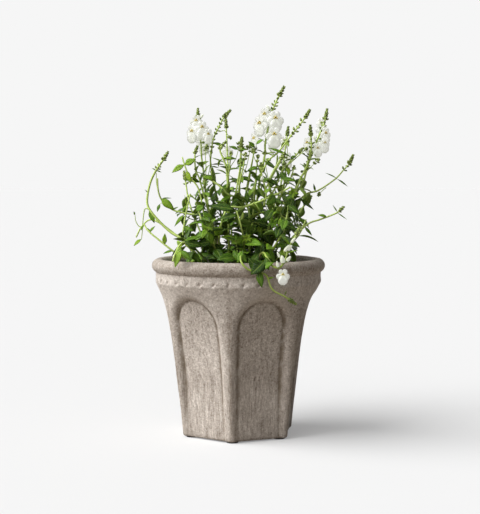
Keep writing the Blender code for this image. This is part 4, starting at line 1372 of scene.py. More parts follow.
def outward_from(heading, askew, turn):
    """The direction square to a heading at this turn round it, counted from a slanting direction."""
    side = unit(np.cross(heading, askew))
    return side * math.cos(turn) + np.cross(heading, side) * math.sin(turn)


def bud_spike(stem, length, pick, dense=DENSE_TIP):
    """Buds along the end of a stem: a dense tip, and below it pairs that stand apart."""
    back = 0.0
    turn = pick.uniform(0, 3)
    while back < length:
        place = stem.length - back
        bm = stem.holder(place)
        heading = stem.heading(min(place, stem.length - HEADING_STEP))
        packed = back < dense
        in_ring = 3 if packed else 2
        share = min(1.0, back / dense)
        long = (3.0 + 1.6 * share) * MM * pick.uniform(0.85, 1.15)
        for number in range(in_ring):
            out = outward_from(heading, BUD_ASKEW, turn + number * math.tau / in_ring)
            along = out * (0.45 + 0.35 * share) + heading * (1.0 - 0.35 * share)
            foot = stem.at(place) + out * 0.5 * MM
            if not packed:
                foot = foot + unit(along) * 1.0 * MM
                draw_twig(bm, (stem.at(place), foot), BUD_STALK, tip_share=0.9, shade=0.55)
            wide = long * pick.uniform(0.55, 0.68)
            place_bud(bm, green_bud, foot, along, long, wide, pick.uniform(0.2, 0.9))
        if packed:
            back += DENSE_STEP
        else:
            back += pick.uniform(*LOOSE_STEPS) * MM
        turn += 1.05 + pick.uniform(-0.2, 0.2)
    tip = stem.at(stem.length)
    heading = stem.heading(stem.length - HEADING_STEP)
    place_bud(stem.holder(stem.length), green_bud, tip - heading * MM, heading, 4 * MM, 2 * MM, 0.35)


print("leaf and bud are ready")

# %% Flowers
# A petal of a flower of size 1: where it begins and which way it runs, each as shares of facing, up and
# aside, then its length and width in millimetres, its bend and its fold.
LOWER_LIP = ((1.2, -0.6, 0.0), (0.25, -0.95, 0.0), 17, 16.5, 0.28, -0.03)
SIDE_LOBE = ((0.5, 0.0, 0.4), (0.15, -0.55, 0.75), 11, 11, 0.25, 0.05)
UPPER_LOBE = ((0.0, 0.4, 0.4), (0.1, 0.8, 0.55), 8, 7.5, 0.25, 0.06)
PETAL_THICK = 0.25 * MM
# The swellings of the throat and the calyx behind them: the same, without bend and fold.
SIDE_THROAT = ((1.0, 0.0, 1.5), (1.0, -0.3, 0.0), 3.0, 2.6)
UPPER_THROAT = ((0.6, 1.2, 0.0), (1.0, 0.2, 0.0), 2.6, 2.8)
CALYX = ((1.2, 0.0, 0.0), (-1.0, 0.0, 0.0), 6.5, 4.4)
HALF_SHADE, CALYX_SHADE = 0.5, 0.7
FLOWER_STEPS = 200
FLOWER_DEEP = 5
STALK_DROP, STALK_BOW, STALK_WIDTH = 3 * MM, 0.8 * MM, 1.0 * MM


def place_flower(bm, middle, facing, scale, pick):
    """A two-lipped flower that faces a way, with its throat at a point."""
    facing = unit(facing)
    upright = unit(UPWARD - facing * facing[2])
    right = np.cross(upright, facing)
    size = scale * MM

    def shared(shares, hand):
        return facing * shares[0] + upright * shares[1] + right * hand * shares[2]

    def lobe(foot, along, length, width, bend, fold, hand=1):
        spread = pick.uniform(0.92, 1.08)
        points = bent(
            petal.rest, middle + shared(foot, hand) * size, shared(along, hand), facing + 0.3 * upright,
            length * size * spread, width * size * spread, bend, fold, PETAL_THICK,
        )
        if clear_of_pot(points):
            petal.set_into(bm, points, HALF_SHADE)

    def swelling(template, shade, foot, along, length, width, hand=1):
        start = middle + shared(foot, hand) * size
        place_bud(bm, template, start, shared(along, hand), length * size, width * size, shade)

    lobe(*LOWER_LIP)
    for hand in (-1, 1):
        lobe(*SIDE_LOBE, hand)
        lobe(*UPPER_LOBE, hand)
        swelling(throat, HALF_SHADE, *SIDE_THROAT, hand)
    swelling(throat, HALF_SHADE, *UPPER_THROAT)
    swelling(green_bud, CALYX_SHADE, *CALYX)


def hang_flower(stem, middle, facing, scale, pick):
    """Sets a flower at a point and joins it to the nearest place on its stem with a stalk."""
    middle = np.array(middle)
    places = np.linspace(0, stem.length, FLOWER_STEPS)
    apart = np.linalg.norm(np.array([stem.at(place) for place in places]) - middle, axis=1)
    place = max(places[np.argmin(apart)] - STALK_DROP, 0)
    bm = stem.holder(place)
    back = middle - unit(facing) * FLOWER_DEEP * scale * MM
    root = stem.at(place)
    bow = (root + back) / 2 + UPWARD * STALK_BOW
    draw_twig(bm, (root, bow, back), STALK_WIDTH, tip_share=0.9, shade=0.6)
    place_flower(bm, middle, facing, scale, pick)


print("flower is ready")

# %% [markdown]
# ## Growth that was seen and measured
# Some leaves and shoots stand free of the mass and give the plant its outline. These are placed by the
# pixels where they begin and end in the picture. A pixel has no depth, so each takes its depth from the
# nearest place on the stem that bears it, and leans toward or away from the camera by a set amount. They
# go in first, so that the rest of the leaves has to find room around them.

# %% Measured shoots
TWIGS = (
    ("left_arch", 1.7, 0, ((149, 209), (145, 209), (143.6, 215), (142.7, 224), (142.3, 231), (141.4, 239))),
    ("left_arch", 1.6, 0, ((142.5, 227), (138.7, 226), (135.8, 221), (135, 215))),
    ("left_arch", 1.2, -4, ((156.5, 173), (156.5, 182), (158, 191), (160, 198))),
    ("buds_left", 1.3, 4, ((219, 132), (224.6, 131), (227, 134), (230.4, 138))),
    ("right_far", 1.2, 4, ((326, 187.5), (322, 191), (318.6, 194.6))),
    ("right_middle", 1.3, 4, ((283, 158), (287, 156), (287, 146), (286.5, 141))),
    ("zigzag", 1.4, 3, ((270, 188), (268, 178), (265.5, 164), (265, 152))),
    ("buds_far", 1.2, 3, ((300.5, 178), (308, 170), (314.5, 163), (318, 160))),
    ("bowed", 1.4, 5, ((203, 192), (206, 172), (205.5, 155), (207, 146))),
    ("middle", 1.4, -3, ((226, 176), (231, 166), (236, 158), (240, 143))),
    ("middle_bud", 1.3, 2, ((240, 180), (246, 168), (249, 155), (250, 146))),
    ("flowers_2", 1.3, 4, ((263, 172), (256, 162), (252, 152), (247.5, 147))),
    ("flowers_1", 1.2, 5, ((204, 186), (209, 172), (210, 158), (206, 148))),
    ("middle", 3.1, 4, ((223, 204), (227, 188), (229, 172), (231, 153))),
    ("crossing", 3.0, -5, ((233, 206), (236, 192), (238, 180), (241, 162))),
    ("middle_bud", 3.0, 3, ((243, 206), (247, 190), (250, 176), (254, 151))),
    ("flowers_2", 3.1, -3, ((254, 204), (255, 190), (256, 174), (258, 156))),
    ("zigzag", 2.9, 4, ((264, 206), (266, 192), (262, 176), (261, 164))),
    ("buds_right", 3.0, -4, ((267, 202), (275, 188), (280, 176), (285, 164))),
    ("right_middle", 2.8, 3, ((277, 202), (284, 189), (291, 177), (294, 167))),
    ("flowers_3", 2.8, 4, ((290, 202), (295, 190), (297, 181))),
    ("crossing", 2.8, 9, ((238, 196), (240, 181), (243, 168), (245.6, 154))),
    ("middle_bud", 2.8, 9, ((246, 192), (249, 176), (252, 162), (255, 148))),
    ("buds_right", 2.8, 8, ((262, 196), (269.6, 181), (277, 168), (284, 155))),
    ("right_middle", 2.0, 6, ((281, 172), (288, 165), (297, 157), (306, 149))),
)
# Old wood at the foot of the plant: width in millimetres, shade, and pixels from the soil upwards.
WOODY_FEET = (
    (5.6, -0.2, ((219.5, 278), (218.8, 252), (218, 235))),
    (3.0, 0.0, ((238, 278), (231, 248), (223.5, 233))),
)
print("measured shoots:", len(TWIGS))

# %% Measured leaves
# The stem, where the leaf begins and ends, its lean toward the camera and its width in millimetres, how
# far it turns from facing up to facing the camera, and its shade, which holds painted light and shade as
# well as the leaf's own green.
MEASURED_LEAVES = (
    ("left_arch", (148, 210), (154, 222.5), 6, 8.5, 0.8, 0.45),
    ("left_arch", (141.4, 239), (133, 245), 2, 6.0, 0.6, 0.85),
    ("left_arch", (135, 215), (133.8, 211.5), 2, 2.6, 0.7, 0.6),
    ("left_arch", (156, 171), (152.5, 168), 3, 2.6, 0.5, 0.6),
    ("left_arch", (156.5, 171), (161.5, 172), 3, 2.6, 0.5, 0.6),
    ("left_arch", (147.5, 193), (145.5, 189.5), 3, 1.8, 0.5, 0.7),
    ("left_middle", (161, 198), (173.5, 209), 8, 11.5, 0.85, 0.70),
    ("left_middle", (161, 199.5), (171.5, 196.5), -8, 5.0, 0.4, 0.35),
    ("left_middle", (160, 204), (157, 211), 6, 5.0, 0.7, 0.35),
    ("left_middle", (184, 214.5), (174.4, 225.4), 8, 5.8, 0.7, 0.60),
    ("left_middle", (181.6, 212), (187, 204), 4, 4.6, 0.5, 0.55),
    ("left_middle", (172.6, 210.6), (178, 206), -6, 5.0, 0.3, 0.5),
    ("left_upright", (187, 207), (184.5, 195), 2, 2.2, 0.5, 0.8),
    ("left_upright", (184.5, 226), (193, 231), 8, 7.5, 0.7, 0.40),
    ("left_upright", (184.5, 226), (187.5, 234), 6, 5.0, 0.7, 0.35),
    ("left_low", (165, 244), (164.5, 234), 6, 7.5, 0.7, 0.72),
    ("left_low", (150, 232), (154.5, 226), 4, 4.5, 0.6, 0.6),
    ("left_low", (146, 228), (151.5, 233.5), 5, 4.0, 0.6, 0.5),
    ("left_low", (172, 252), (163, 252), 4, 5.0, 0.5, 0.45),
    ("left_low", (143.6, 224.5), (140.5, 230), 2, 3.4, 0.6, 0.6),
    ("leaf_pair", (184.7, 165), (172, 171), 6, 9.5, 0.7, 0.72),
    ("leaf_pair", (184.7, 165), (195, 159), 4, 11.0, 0.75, 0.68),
    ("leaf_pair", (185, 171), (190.5, 183), 6, 7.5, 0.6, 0.92),
    ("front_left", (181, 247), (174.5, 266), 14, 11.5, 0.75, 0.74),
    ("front_left", (184, 241), (201, 234.5), -6, 7.5, 0.5, 0.40),
    ("front_left", (186, 243), (197, 250), -8, 9.0, 0.6, 0.26),
    ("front_left", (181, 250), (190, 259), 10, 8.0, 0.7, 0.36),
    ("buds_left", (213, 143), (226, 146), 4, 6.0, 0.5, 0.55),
    ("buds_left", (211, 166), (219, 167.5), 4, 2.6, 0.5, 0.45),
    ("buds_left", (212, 175), (220.5, 172), 4, 3.0, 0.5, 0.45),
    ("middle", (224, 164), (212.5, 157), 6, 3.0, 0.5, 0.6),
    ("middle", (223.5, 159), (236, 157), 4, 7.5, 0.5, 0.55),
    ("right_far", (337, 178.6), (326, 172), 2, 2.4, 0.5, 0.5),
    ("right_far", (337, 179), (347.8, 185.3), 4, 3.0, 0.5, 0.45),
    ("right_far", (317, 191.5), (313.5, 184), 3, 3.4, 0.5, 0.4),
    ("right_far", (299, 198), (313.7, 208.5), 6, 5.5, 0.6, 0.15),
    ("right_low", (337, 213), (333, 205), 2, 2.0, 0.5, 0.55),
    ("right_low", (337, 213.5), (347, 219), 3, 2.0, 0.5, 0.55),
    ("right_low", (326.5, 217.5), (318.5, 214), 4, 5.0, 0.6, 0.55),
    ("right_low", (303.5, 226), (312, 235), 6, 4.5, 0.6, 0.30),
    ("right_low", (305, 225.5), (300, 217), 4, 5.5, 0.6, 0.35),
    ("front_trailing", (258.5, 270), (249, 258.5), 6, 14.0, 0.8, 0.06),
    ("front_trailing", (259.5, 270), (272.5, 261.5), 8, 9.5, 0.7, 0.50),
    ("front_trailing", (259, 270.5), (261.4, 287.5), 6, 10.5, 0.85, 0.22),
    ("front_trailing", (239, 264), (236.5, 250), 6, 5.5, 0.7, 0.68),
    ("front_trailing", (240, 264), (231, 256.5), 6, 5.0, 0.6, 0.60),
    ("front_trailing", (267.5, 279), (273.5, 277), 4, 3.0, 0.6, 0.65),
    ("front_trailing", (284.6, 296), (286.3, 291), 3, 1.6, 0.5, 0.7),
    ("flowers_4", (288, 253), (298, 249.5), -4, 4.0, 0.4, 0.55),
    ("flowers_4", (259, 254), (251, 264), 6, 12.0, 0.75, 0.16),
    ("flowers_4", (261, 253), (272, 258), 6, 10.0, 0.7, 0.40),
    ("flowers_4", (266, 257), (268.5, 270), 5, 9.0, 0.75, 0.20),
    ("front_trailing", (236, 255), (245, 262), 6, 9.0, 0.7, 0.24),
    ("front_trailing", (265, 261), (251.5, 273.5), 9, 18.0, 0.95, 0.05),
    ("front_trailing", (240, 251), (246.5, 262.5), 8, 8.0, 0.8, 0.30),
    ("front_trailing", (243, 250), (237.5, 262), 9, 8.0, 0.8, 0.42),
    ("flowers_4", (290, 246), (285, 237.5), 4, 3.6, 0.6, 0.6),
)
# The same for leaves within the mass, where the stem that bears them is hidden: the stem is found instead.
INNER_LEAVES = (
    ((235.3, 209.8), (210.4, 204.3), 4, 12.8, 0.6, 0.08), ((237.7, 214), (219.5, 216.4), 6, 10.4, 0.6, 0.12),
    ((254, 222), (235, 221), 6, 14.0, 0.7, 0.10), ((270.5, 225.5), (254.5, 221), 5, 15.9, 0.8, 0.08),
    ((256, 225.5), (245.5, 235), 8, 14.0, 0.75, 0.30), ((262, 231), (270, 243.5), 6, 12.8, 0.75, 0.10),
    ((243.5, 238), (231.5, 243), 6, 12.2, 0.8, 0.62), ((266.5, 244), (256, 254), 8, 12.8, 0.75, 0.14),
    ((249, 249.5), (256.5, 263), 8, 11.6, 0.7, 0.34), ((269, 248), (274.5, 264), 8, 9.8, 0.7, 0.32),
    ((212, 228.5), (206.5, 241), 6, 10.4, 0.7, 0.10), ((211.5, 240), (196, 244), 6, 14.0, 0.7, 0.08),
    ((225.5, 245), (208, 250.5), 8, 12.2, 0.7, 0.20), ((221.5, 254.5), (213.5, 261), 8, 9.8, 0.7, 0.62),
    ((213.5, 221.5), (203.5, 212.5), 5, 10.4, 0.7, 0.36),
    ((203.5, 205.5), (196.5, 210.5), 5, 10.4, 0.7, 0.46),
    ((222.5, 234.5), (214.5, 228), 5, 14.6, 0.95, 0.66), ((279, 221), (297, 229.5), 6, 13.4, 0.7, 0.10),
    ((281, 226), (276, 237), 8, 14.0, 0.8, 0.06), ((298.5, 194.5), (283, 198.5), 4, 9.2, 0.5, 0.18),
    ((254.5, 189.5), (267.5, 197), 5, 9.2, 0.6, 0.18), ((248, 203.5), (246, 191), 4, 7.9, 0.7, 0.14),
    ((241.5, 199), (230.5, 207), 6, 12.8, 0.7, 0.10), ((232, 196), (219.5, 201), 5, 7.3, 0.6, 0.52),
    ((238.5, 150), (230, 145.5), 4, 6.7, 0.5, 0.48), ((238.5, 150), (247.5, 148.5), 4, 6.1, 0.5, 0.42),
    ((255, 148), (249, 141.5), 4, 6.7, 0.5, 0.50), ((256, 144.5), (262.5, 139), 4, 7.3, 0.5, 0.55),
    ((268, 148), (292, 154.5), 6, 5.5, 0.5, 0.40), ((263.5, 160.5), (276.5, 168), 5, 6.7, 0.6, 0.26),
    ((239.5, 176.5), (254.5, 180.5), 6, 7.3, 0.6, 0.22), ((251, 175.5), (266.5, 181.5), 6, 7.9, 0.6, 0.30),
    ((264.5, 178.5), (279, 184), 5, 7.9, 0.6, 0.12), ((215, 179.5), (203, 175.5), 5, 7.3, 0.6, 0.60),
    ((201, 182.5), (185, 178), 5, 7.3, 0.5, 0.44), ((280, 172.5), (286.5, 179), 5, 10.4, 0.7, 0.24),
    ((280, 178.5), (297.5, 180), 5, 7.3, 0.6, 0.28), ((230, 186), (217.5, 190), 5, 7.9, 0.6, 0.30),
    ((258, 166.5), (246.5, 171), 5, 7.3, 0.6, 0.34), ((236, 168), (246, 163), 4, 6.1, 0.5, 0.48),
    ((288, 205), (300, 214), 6, 9.8, 0.6, 0.16), ((270, 208), (284, 213), 6, 11.0, 0.6, 0.22),
    ((222, 222), (231, 214), 5, 9.8, 0.6, 0.30), ((191, 252), (200, 262), 8, 10.4, 0.7, 0.40),
    ((233, 250), (240, 262), 8, 9.8, 0.7, 0.26), ((288, 240), (300, 246), 5, 7.9, 0.6, 0.30),
)
# Young shoots seen from above their tip: the middle, the length of a leaf in millimetres, and the shade.
YOUNG_SHOOTS = (
    ((247, 238), 9, 0.88), ((273.5, 222.5), 10, 0.42), ((293, 192.5), 9, 0.72), ((260, 230), 7, 0.7),
)
print("measured leaves:", len(MEASURED_LEAVES) + len(INNER_LEAVES), "young shoots:", len(YOUNG_SHOOTS))

# %% Place the measured growth
# A leaf that begins nearer to its stem than the first length sits on the stem, and one that begins nearer
# than the second has a stalk.
AT_STEM, STALK_REACH = 2.5 * MM, 16 * MM
LEAF_STALK, LEAF_FOLD = 1.1 * MM, 0.22
LEFT_LEAN = 0.15
SHOOT_OUT, SHOOT_STALK, SHOOT_LEAVES, SHOOT_SLIM = 5 * MM, 1.4 * MM, 7, 0.36
OFF_PIXEL_COST = 4


def behind_pixel(pixel, depth):
    return np.array(seen_at(*pixel, depth / MM))


def grown_depth(stem, pixel):
    """How far in front of the pot's axis a stem is, where it lies nearest to this pixel."""
    place = stem.nearest_seen(behind_pixel(pixel, 0.0))
    return np.dot(stem.at(place), FORWARD), place


def bearing_stem(pixel):
    """The stem that may bear a leaf at a pixel: near it as the camera sees it, and well to the front."""
    def merit(stem):
        depth, place = grown_depth(stem, pixel)
        return depth - OFF_PIXEL_COST * np.linalg.norm(stem.at(place) - behind_pixel(pixel, depth))
    return max((stem for stem in stems.values() if not stem.spike_bm), key=merit).name


pick = random.Random(21)
tip_twigs = []
for name, width, lean, pixels in TWIGS:
    depth, _ = grown_depth(stems[name], pixels[0])
    steps = np.linspace(0, lean * MM, len(pixels))
    points = [behind_pixel(pixel, depth + step) for pixel, step in zip(pixels, steps)]
    line = draw_twig(stems[name].bm, points, width * MM)
    room.take_line(line, width * MM * TWIG_ROOM)
    tip_twigs.append((name, line))

for width, shade, pixels in WOODY_FEET:
    depth, _ = grown_depth(stems["middle"], pixels[1])
    points = [behind_pixel(pixel, depth) for pixel in pixels]
    wood = draw_twig(stems["middle"].bm, points, width * MM, tip_share=0.8, shade=shade)
    room.take_line(wood, width * MM)

placed = 0
found_leaves = [(bearing_stem(inner[0]), *inner) for inner in INNER_LEAVES]
for name, foot_pixel, tip_pixel, lean, width, turn, shade in MEASURED_LEAVES + tuple(found_leaves):
    stem = stems[name]
    depth, place = grown_depth(stem, foot_pixel)
    foot = behind_pixel(foot_pixel, depth)
    tip = behind_pixel(tip_pixel, depth + lean * MM)
    root = stem.at(place)
    off_stem = np.linalg.norm(foot - root)
    if off_stem < AT_STEM:
        foot = root
    along = tip - foot
    face = UPWARD * (1 - turn) + FORWARD * turn - RIGHTWARD * LEFT_LEAN
    bend = pick.uniform(0.15, 0.5)
    length = np.linalg.norm(along) * 1.03
    if place_leaf(stem.bm, foot, along, face, length, width * MM, shade, bend, LEAF_FOLD, must=True):
        placed += 1
        if AT_STEM <= off_stem < STALK_REACH:
            draw_twig(stem.bm, (root, foot), LEAF_STALK)
for pixel, length, shade in YOUNG_SHOOTS:
    stem = stems[bearing_stem(pixel)]
    depth, place = grown_depth(stem, pixel)
    foot = behind_pixel(pixel, depth + SHOOT_OUT)
    draw_twig(stem.bm, (stem.at(place), foot), SHOOT_STALK)
    for number in range(SHOOT_LEAVES):
        angle = number * math.tau / SHOOT_LEAVES + pick.uniform(-0.2, 0.2)
        out = RIGHTWARD * math.cos(angle) + UPWARD * math.sin(angle)
        size = length * MM * pick.uniform(0.75, 1.1)
        along, face = out + FORWARD * 0.5, FORWARD - out * 0.5
        place_leaf(stem.bm, foot, along, face, size, size * SHOOT_SLIM, shade, 0.5, 0.2, must=True)
print("measured leaves placed:", placed)

# %% [markdown]
# ## Flowers and buds
# The flowers open from the bottom of a spike upwards, so the open ones are low and the buds are on top.
# Those that the picture shows sit where their throats are seen. Round the back of each spike more of them
# are set in turn, because a spike flowers all the way round.

# %% Measured flowers and buds
# The stem, the pixel of the throat, how far it stands out toward the camera, its turn from the camera in
# degrees, and its size.
MEASURED_FLOWERS = (
    ("flowers_1", (196.5, 120.5), 6, -12, 0.88), ("flowers_1", (202.0, 127.0), 9, 16, 1.00),
    ("flowers_1", (192.5, 131.0), 7, -30, 0.95), ("flowers_1", (208.0, 134.0), 9, 34, 0.85),
    ("flowers_2", (260.0, 123.0), 8, -34, 1.15), ("flowers_2", (275.0, 118.0), 9, 16, 1.15),
    ("flowers_2", (274.0, 134.0), 12, 12, 1.15), ("flowers_2", (265.0, 114.0), 4, -30, 1.05),
    ("flowers_2", (254.5, 138.0), 2, -52, 0.90),
    ("flowers_3", (325.0, 133.0), 6, 34, 0.90), ("flowers_3", (324.0, 142.5), 6, 26, 0.88),
    ("flowers_3", (317.5, 148.0), 8, 4, 0.80), ("flowers_3", (307.5, 142.5), 4, -46, 0.85),
    ("flowers_4", (283.0, 274.4), 5, 2, 0.85),
)
OPENING_BUDS = (
    ("flowers_4", (286.5, 262.0), (290, 256.5), 5.4), ("flowers_4", (284.0, 252.5), (288.5, 245), 5.0),
    ("flowers_4", (278.5, 268.0), (277, 262), 4.2), ("flowers_4", (280.0, 258.0), (277.5, 252.5), 3.6),
    ("flowers_4", (283.5, 264.0), (282, 256.5), 7.0), ("flowers_4", (287.5, 251.0), (291, 245.5), 5.8),
    ("flowers_4", (291.0, 243.5), (294.5, 238), 4.8),
    ("flowers_3", (321.0, 131.0), (323.5, 126), 4.2), ("flowers_3", (315.5, 141.0), (313.5, 136.5), 3.6),
    ("flowers_1", (200.5, 119.0), (203, 115), 3.6), ("flowers_2", (269.5, 111.0), (267.5, 106.5), 3.6),
    ("zigzag", (261.0, 181.0), (262.5, 176), 4.0), ("flowers_1", (203, 147), (206, 151), 4.0),
)
BACK_TURNS = {
    "flowers_1": (150, 165, 180, 195, 210), "flowers_2": (120, 180, 240), "flowers_3": (150, 170, 195, 215),
    "flowers_5": (180,), "flowers_6": (150, 210),
}
BUD_TIPS = {
    "left_arch": 30, "buds_left": 62, "buds_right": 46, "buds_far": 60, "right_far": 26, "right_low": 9,
    "middle_bud": 22, "middle": 14, "zigzag": 12, "right_middle": 10, "bowed": 12, "front_trailing": 16,
    "back_1": 24, "back_2": 20, "back_3": 22, "back_4": 22, "back_trailing": 14, "crossing": 8,
    "flowers_1": 16, "flowers_2": 44, "flowers_3": 30, "flowers_4": 24, "flowers_5": 14, "flowers_6": 14,
}
print("measured flowers:", len(MEASURED_FLOWERS), "opening buds:", len(OPENING_BUDS))

# %% Place the flowers and buds
NOD = 0.12
# The flowers round the back start this far up a spike and run on over this share of it.
BACK_START, BACK_RUN = 0.04, 0.58
OPEN_FOOT, OPEN_TIP, OPEN_STALK = 3 * MM, 4 * MM, 0.9 * MM
# The first twigs bear no buds, and the others end in a short spike of them.
LEAFY_TWIGS = 3
TWIG_BUDS, TWIG_SHARE, TWIG_DENSE = 9 * MM, 0.4, 4 * MM


def turned_from_camera(degrees):
    """The way a flower faces: turned from the camera by some degrees, and nodding a little."""
    angle = math.radians(degrees)
    return FORWARD * math.cos(angle) + RIGHTWARD * math.sin(angle) - UPWARD * NOD


flowers = 0
for name, pixel, out, turn, scale in MEASURED_FLOWERS:
    depth, _ = grown_depth(stems[name], pixel)
    facing = turned_from_camera(turn)
    hang_flower(stems[name], behind_pixel(pixel, depth + out * MM), facing, scale, pick)
    flowers += 1
for name, turns in BACK_TURNS.items():
    stem = stems[name]
    spike = stem.length - stem.spike_at
    for number, turn in enumerate(turns):
        share = BACK_START + BACK_RUN * number / max(1, len(turns) - 1)
        facing = turned_from_camera(turn + pick.uniform(-12, 12))
        middle = stem.at(stem.spike_at + spike * share) + facing * (10 - 3 * share) * MM
        hang_flower(stem, middle, facing, pick.uniform(0.85, 1.05) * (1 - 0.2 * share), pick)
        flowers += 1
for name, foot_pixel, tip_pixel, width in OPENING_BUDS:
    stem = stems[name]
    depth, place = grown_depth(stem, foot_pixel)
    foot = behind_pixel(foot_pixel, depth + OPEN_FOOT)
    along = behind_pixel(tip_pixel, depth + OPEN_TIP) - foot
    draw_twig(stem.holder(place), (stem.at(place), foot), OPEN_STALK, tip_share=0.9, shade=0.6)
    length, width = np.linalg.norm(along), width * MM
    calyx_foot = foot - unit(along) * 0.5 * MM
    place_bud(stem.holder(place), green_bud, calyx_foot, along, 0.5 * length, width * 0.8, CALYX_SHADE)
    place_bud(stem.holder(place), pale_bud, foot, along, length * 1.15, width, HALF_SHADE)
for name, length in BUD_TIPS.items():
    bud_spike(stems[name], length * MM, pick)
for name, line in tip_twigs[LEAFY_TWIGS:]:
    tip = Stem(name, line, bm=stems[name].bm)
    bud_spike(tip, min(TWIG_BUDS, TWIG_SHARE * tip.length), pick, dense=TWIG_DENSE)
print("flowers:", flowers, "bud spikes:", len(BUD_TIPS))

# %% [markdown]
# ## The rest of the leaves
# Leaves stand in pairs, each pair square to the one below. They are broad and close together low down, and
# small, narrow and far apart higher up, which is why the top of the plant is airy. From the lower nodes
# short side shoots grow, and these rosettes fill the middle of the plant.

# %% Leaf sizes and gaps
# Heights above the rim in millimetres, and the leaves and the steps between nodes at these heights.
UPS = (0, 45, 80, 110, 150)
LEAF_LENGTHS = (30, 29, 24, 21, 14)
LEAF_WIDTHS = (17, 16.5, 13.5, 10, 4.8)
NODE_STEPS = (24, 22, 15, 13, 21)
# Where the picture shows the backdrop through the plant: the pixel in the middle of a gap, and its size.
GAPS = (
    (189, 191, 6), (180, 200, 5), (198, 229, 6), (220, 179, 4), (178, 229, 5), (174, 242, 4), (231, 232, 5),
    (226, 246, 4), (218, 240, 6), (209, 184, 3), (253, 250, 3), (276, 245, 4), (302, 238, 4), (308, 214, 7),
    (167, 218, 7), (318, 175, 7), (184, 243, 4), (190, 250, 3), (196, 256, 3),
)
# How far along a stem leaves grow by rule. Beyond that a stem bears what was measured, and its buds.
LEAFY_TO = {
    "left_arch": 0.22, "left_middle": 0.40, "left_upright": 0.45, "left_low": 0.35, "left_far": 0.35,
    "leaf_pair": 0.62, "front_left": 0.7, "front_trailing": 0.26, "flowers_4": 0.30, "right_far": 0.5,
    "right_low": 0.5,
}
# Stems that are thicker than the others.
STOUT = {
    "left_arch": 1.35, "front_bright": 1.1, "left_low": 1.1, "middle": 1.2, "middle_bud": 1.2, "zigzag": 1.2,
    "crossing": 1.2, "flowers_2": 1.2, "flowers_3": 1.15, "buds_far": 1.15,
}
print("gaps kept open:", len(GAPS))

# %% Grow a leaf
# The ways that a leaf tries: tilts from square to its stem, low down and higher up, and swings to the side,
# all in degrees, and shares of its full size.
LOW_RISES = (10, -20, 35, -45, 60)
HIGH_RISES = (30, -5, -30, 50, 75)
LOW_LEAVES = 55 * MM
SWINGS = (0, 30, -30)
SIZES = (1.0, 0.82)
SHADE_UP, SHADE_OUT = 140 * MM, 130 * MM
YOUNG_SHADE, YOUNG_CHANCE = 0.48, 0.26


def by_height(up, values):
    return float(np.interp(up / MM, UPS, values)) * MM


def leaf_shade(point):
    """Young leaves are lighter; high and outer ones get painted light, and those deep inside painted shade.
    """
    up = (point[2] - POT_TOP) / SHADE_UP
    out = np.hypot(point[0], point[1]) / SHADE_OUT
    young = YOUNG_SHADE if pick.random() < YOUNG_CHANCE + 0.2 * min(max(up, 0), 1) else 0.0
    return float(np.clip(0.24 * up + 0.14 * out + young + pick.uniform(-0.1, 0.12), 0.0, 0.95))


def in_gap(point):
    """Whether the camera sees a point inside one of the gaps."""
    size = PIXEL * (1 - point @ FORWARD / CAMERA_AWAY)
    x = AXIS_X + point @ RIGHTWARD / size
    y = HORIZON_Y - (point[2] - CAMERA_HEIGHT) / size
    return any(math.hypot(x - gap_x, y - gap_y) < reach for gap_x, gap_y, reach in GAPS)


def grow_leaf(bm, foot, heading, outward, length, width):
    """Tries the ways that a leaf may lie, the natural ones first."""
    shade = leaf_shade(foot)
    bend, fold, roll = pick.uniform(0.2, 0.9), pick.uniform(0.12, 0.4), pick.uniform(-0.6, 0.6)
    rises = LOW_RISES if foot[2] < POT_TOP + LOW_LEAVES else HIGH_RISES
    first = pick.randrange(3)
    for size in SIZES:
        for rise in rises[first:] + rises[:first]:
            for swing in SWINGS:
                out = np.array(Matrix.Rotation(math.radians(swing), 3, Vector(heading)) @ Vector(outward))
                tilt = math.radians(rise + pick.uniform(-6, 6))
                along = out * math.cos(tilt) + heading * math.sin(tilt)
                face = heading * math.cos(tilt) - out * math.sin(tilt) + UPWARD * 0.4
                face = face + np.cross(along, heading) * roll
                if any(in_gap(foot + along * length * size * share) for share in (0.35, 0.7, 1.0)):
                    continue
                if place_leaf(bm, foot, along, face, length * size, width * size, shade, bend, fold):
                    return 1
    return 0


print("ways for a leaf to lie:", len(SIZES) * len(LOW_RISES) * len(SWINGS))

# %% Grow the rest of the leaves
LEAF_ASKEW = (0.35, 0.2, 0.9)
LEAF_FOOT = 0.8 * MM
FIRST_NODE = 8 * MM
LEAST_BARE = 2
SHOOTS_BELOW, SHOOT_CHANCE = 60 * MM, 0.3
SHOOT_LENGTHS = (14, 32)
SHOOT_BOW = ((0, 0), (0.45, 0.3), (0.75, 0.75))
SHOOT_WIDTH = 1.5 * MM
# The pairs of leaves on a shoot: how far along it they stand, and their share of a full leaf.
SHOOT_PAIRS = ((0.45, 0.80), (0.75, 0.72), (0.98, 0.55))
SHOOT_LEAF_LONG, SHOOT_LEAF_WIDE = 26 * MM, 13 * MM


def grow_pair(bm, foot, heading, turn, length, width):
    grown = 0
    for half in (0, math.pi):
        outward = outward_from(heading, LEAF_ASKEW, turn + half)
        long, wide = length * pick.uniform(0.85, 1.15), width * pick.uniform(0.85, 1.15)
        grown += grow_leaf(bm, foot + outward * LEAF_FOOT, heading, outward, long, wide)
    return grown


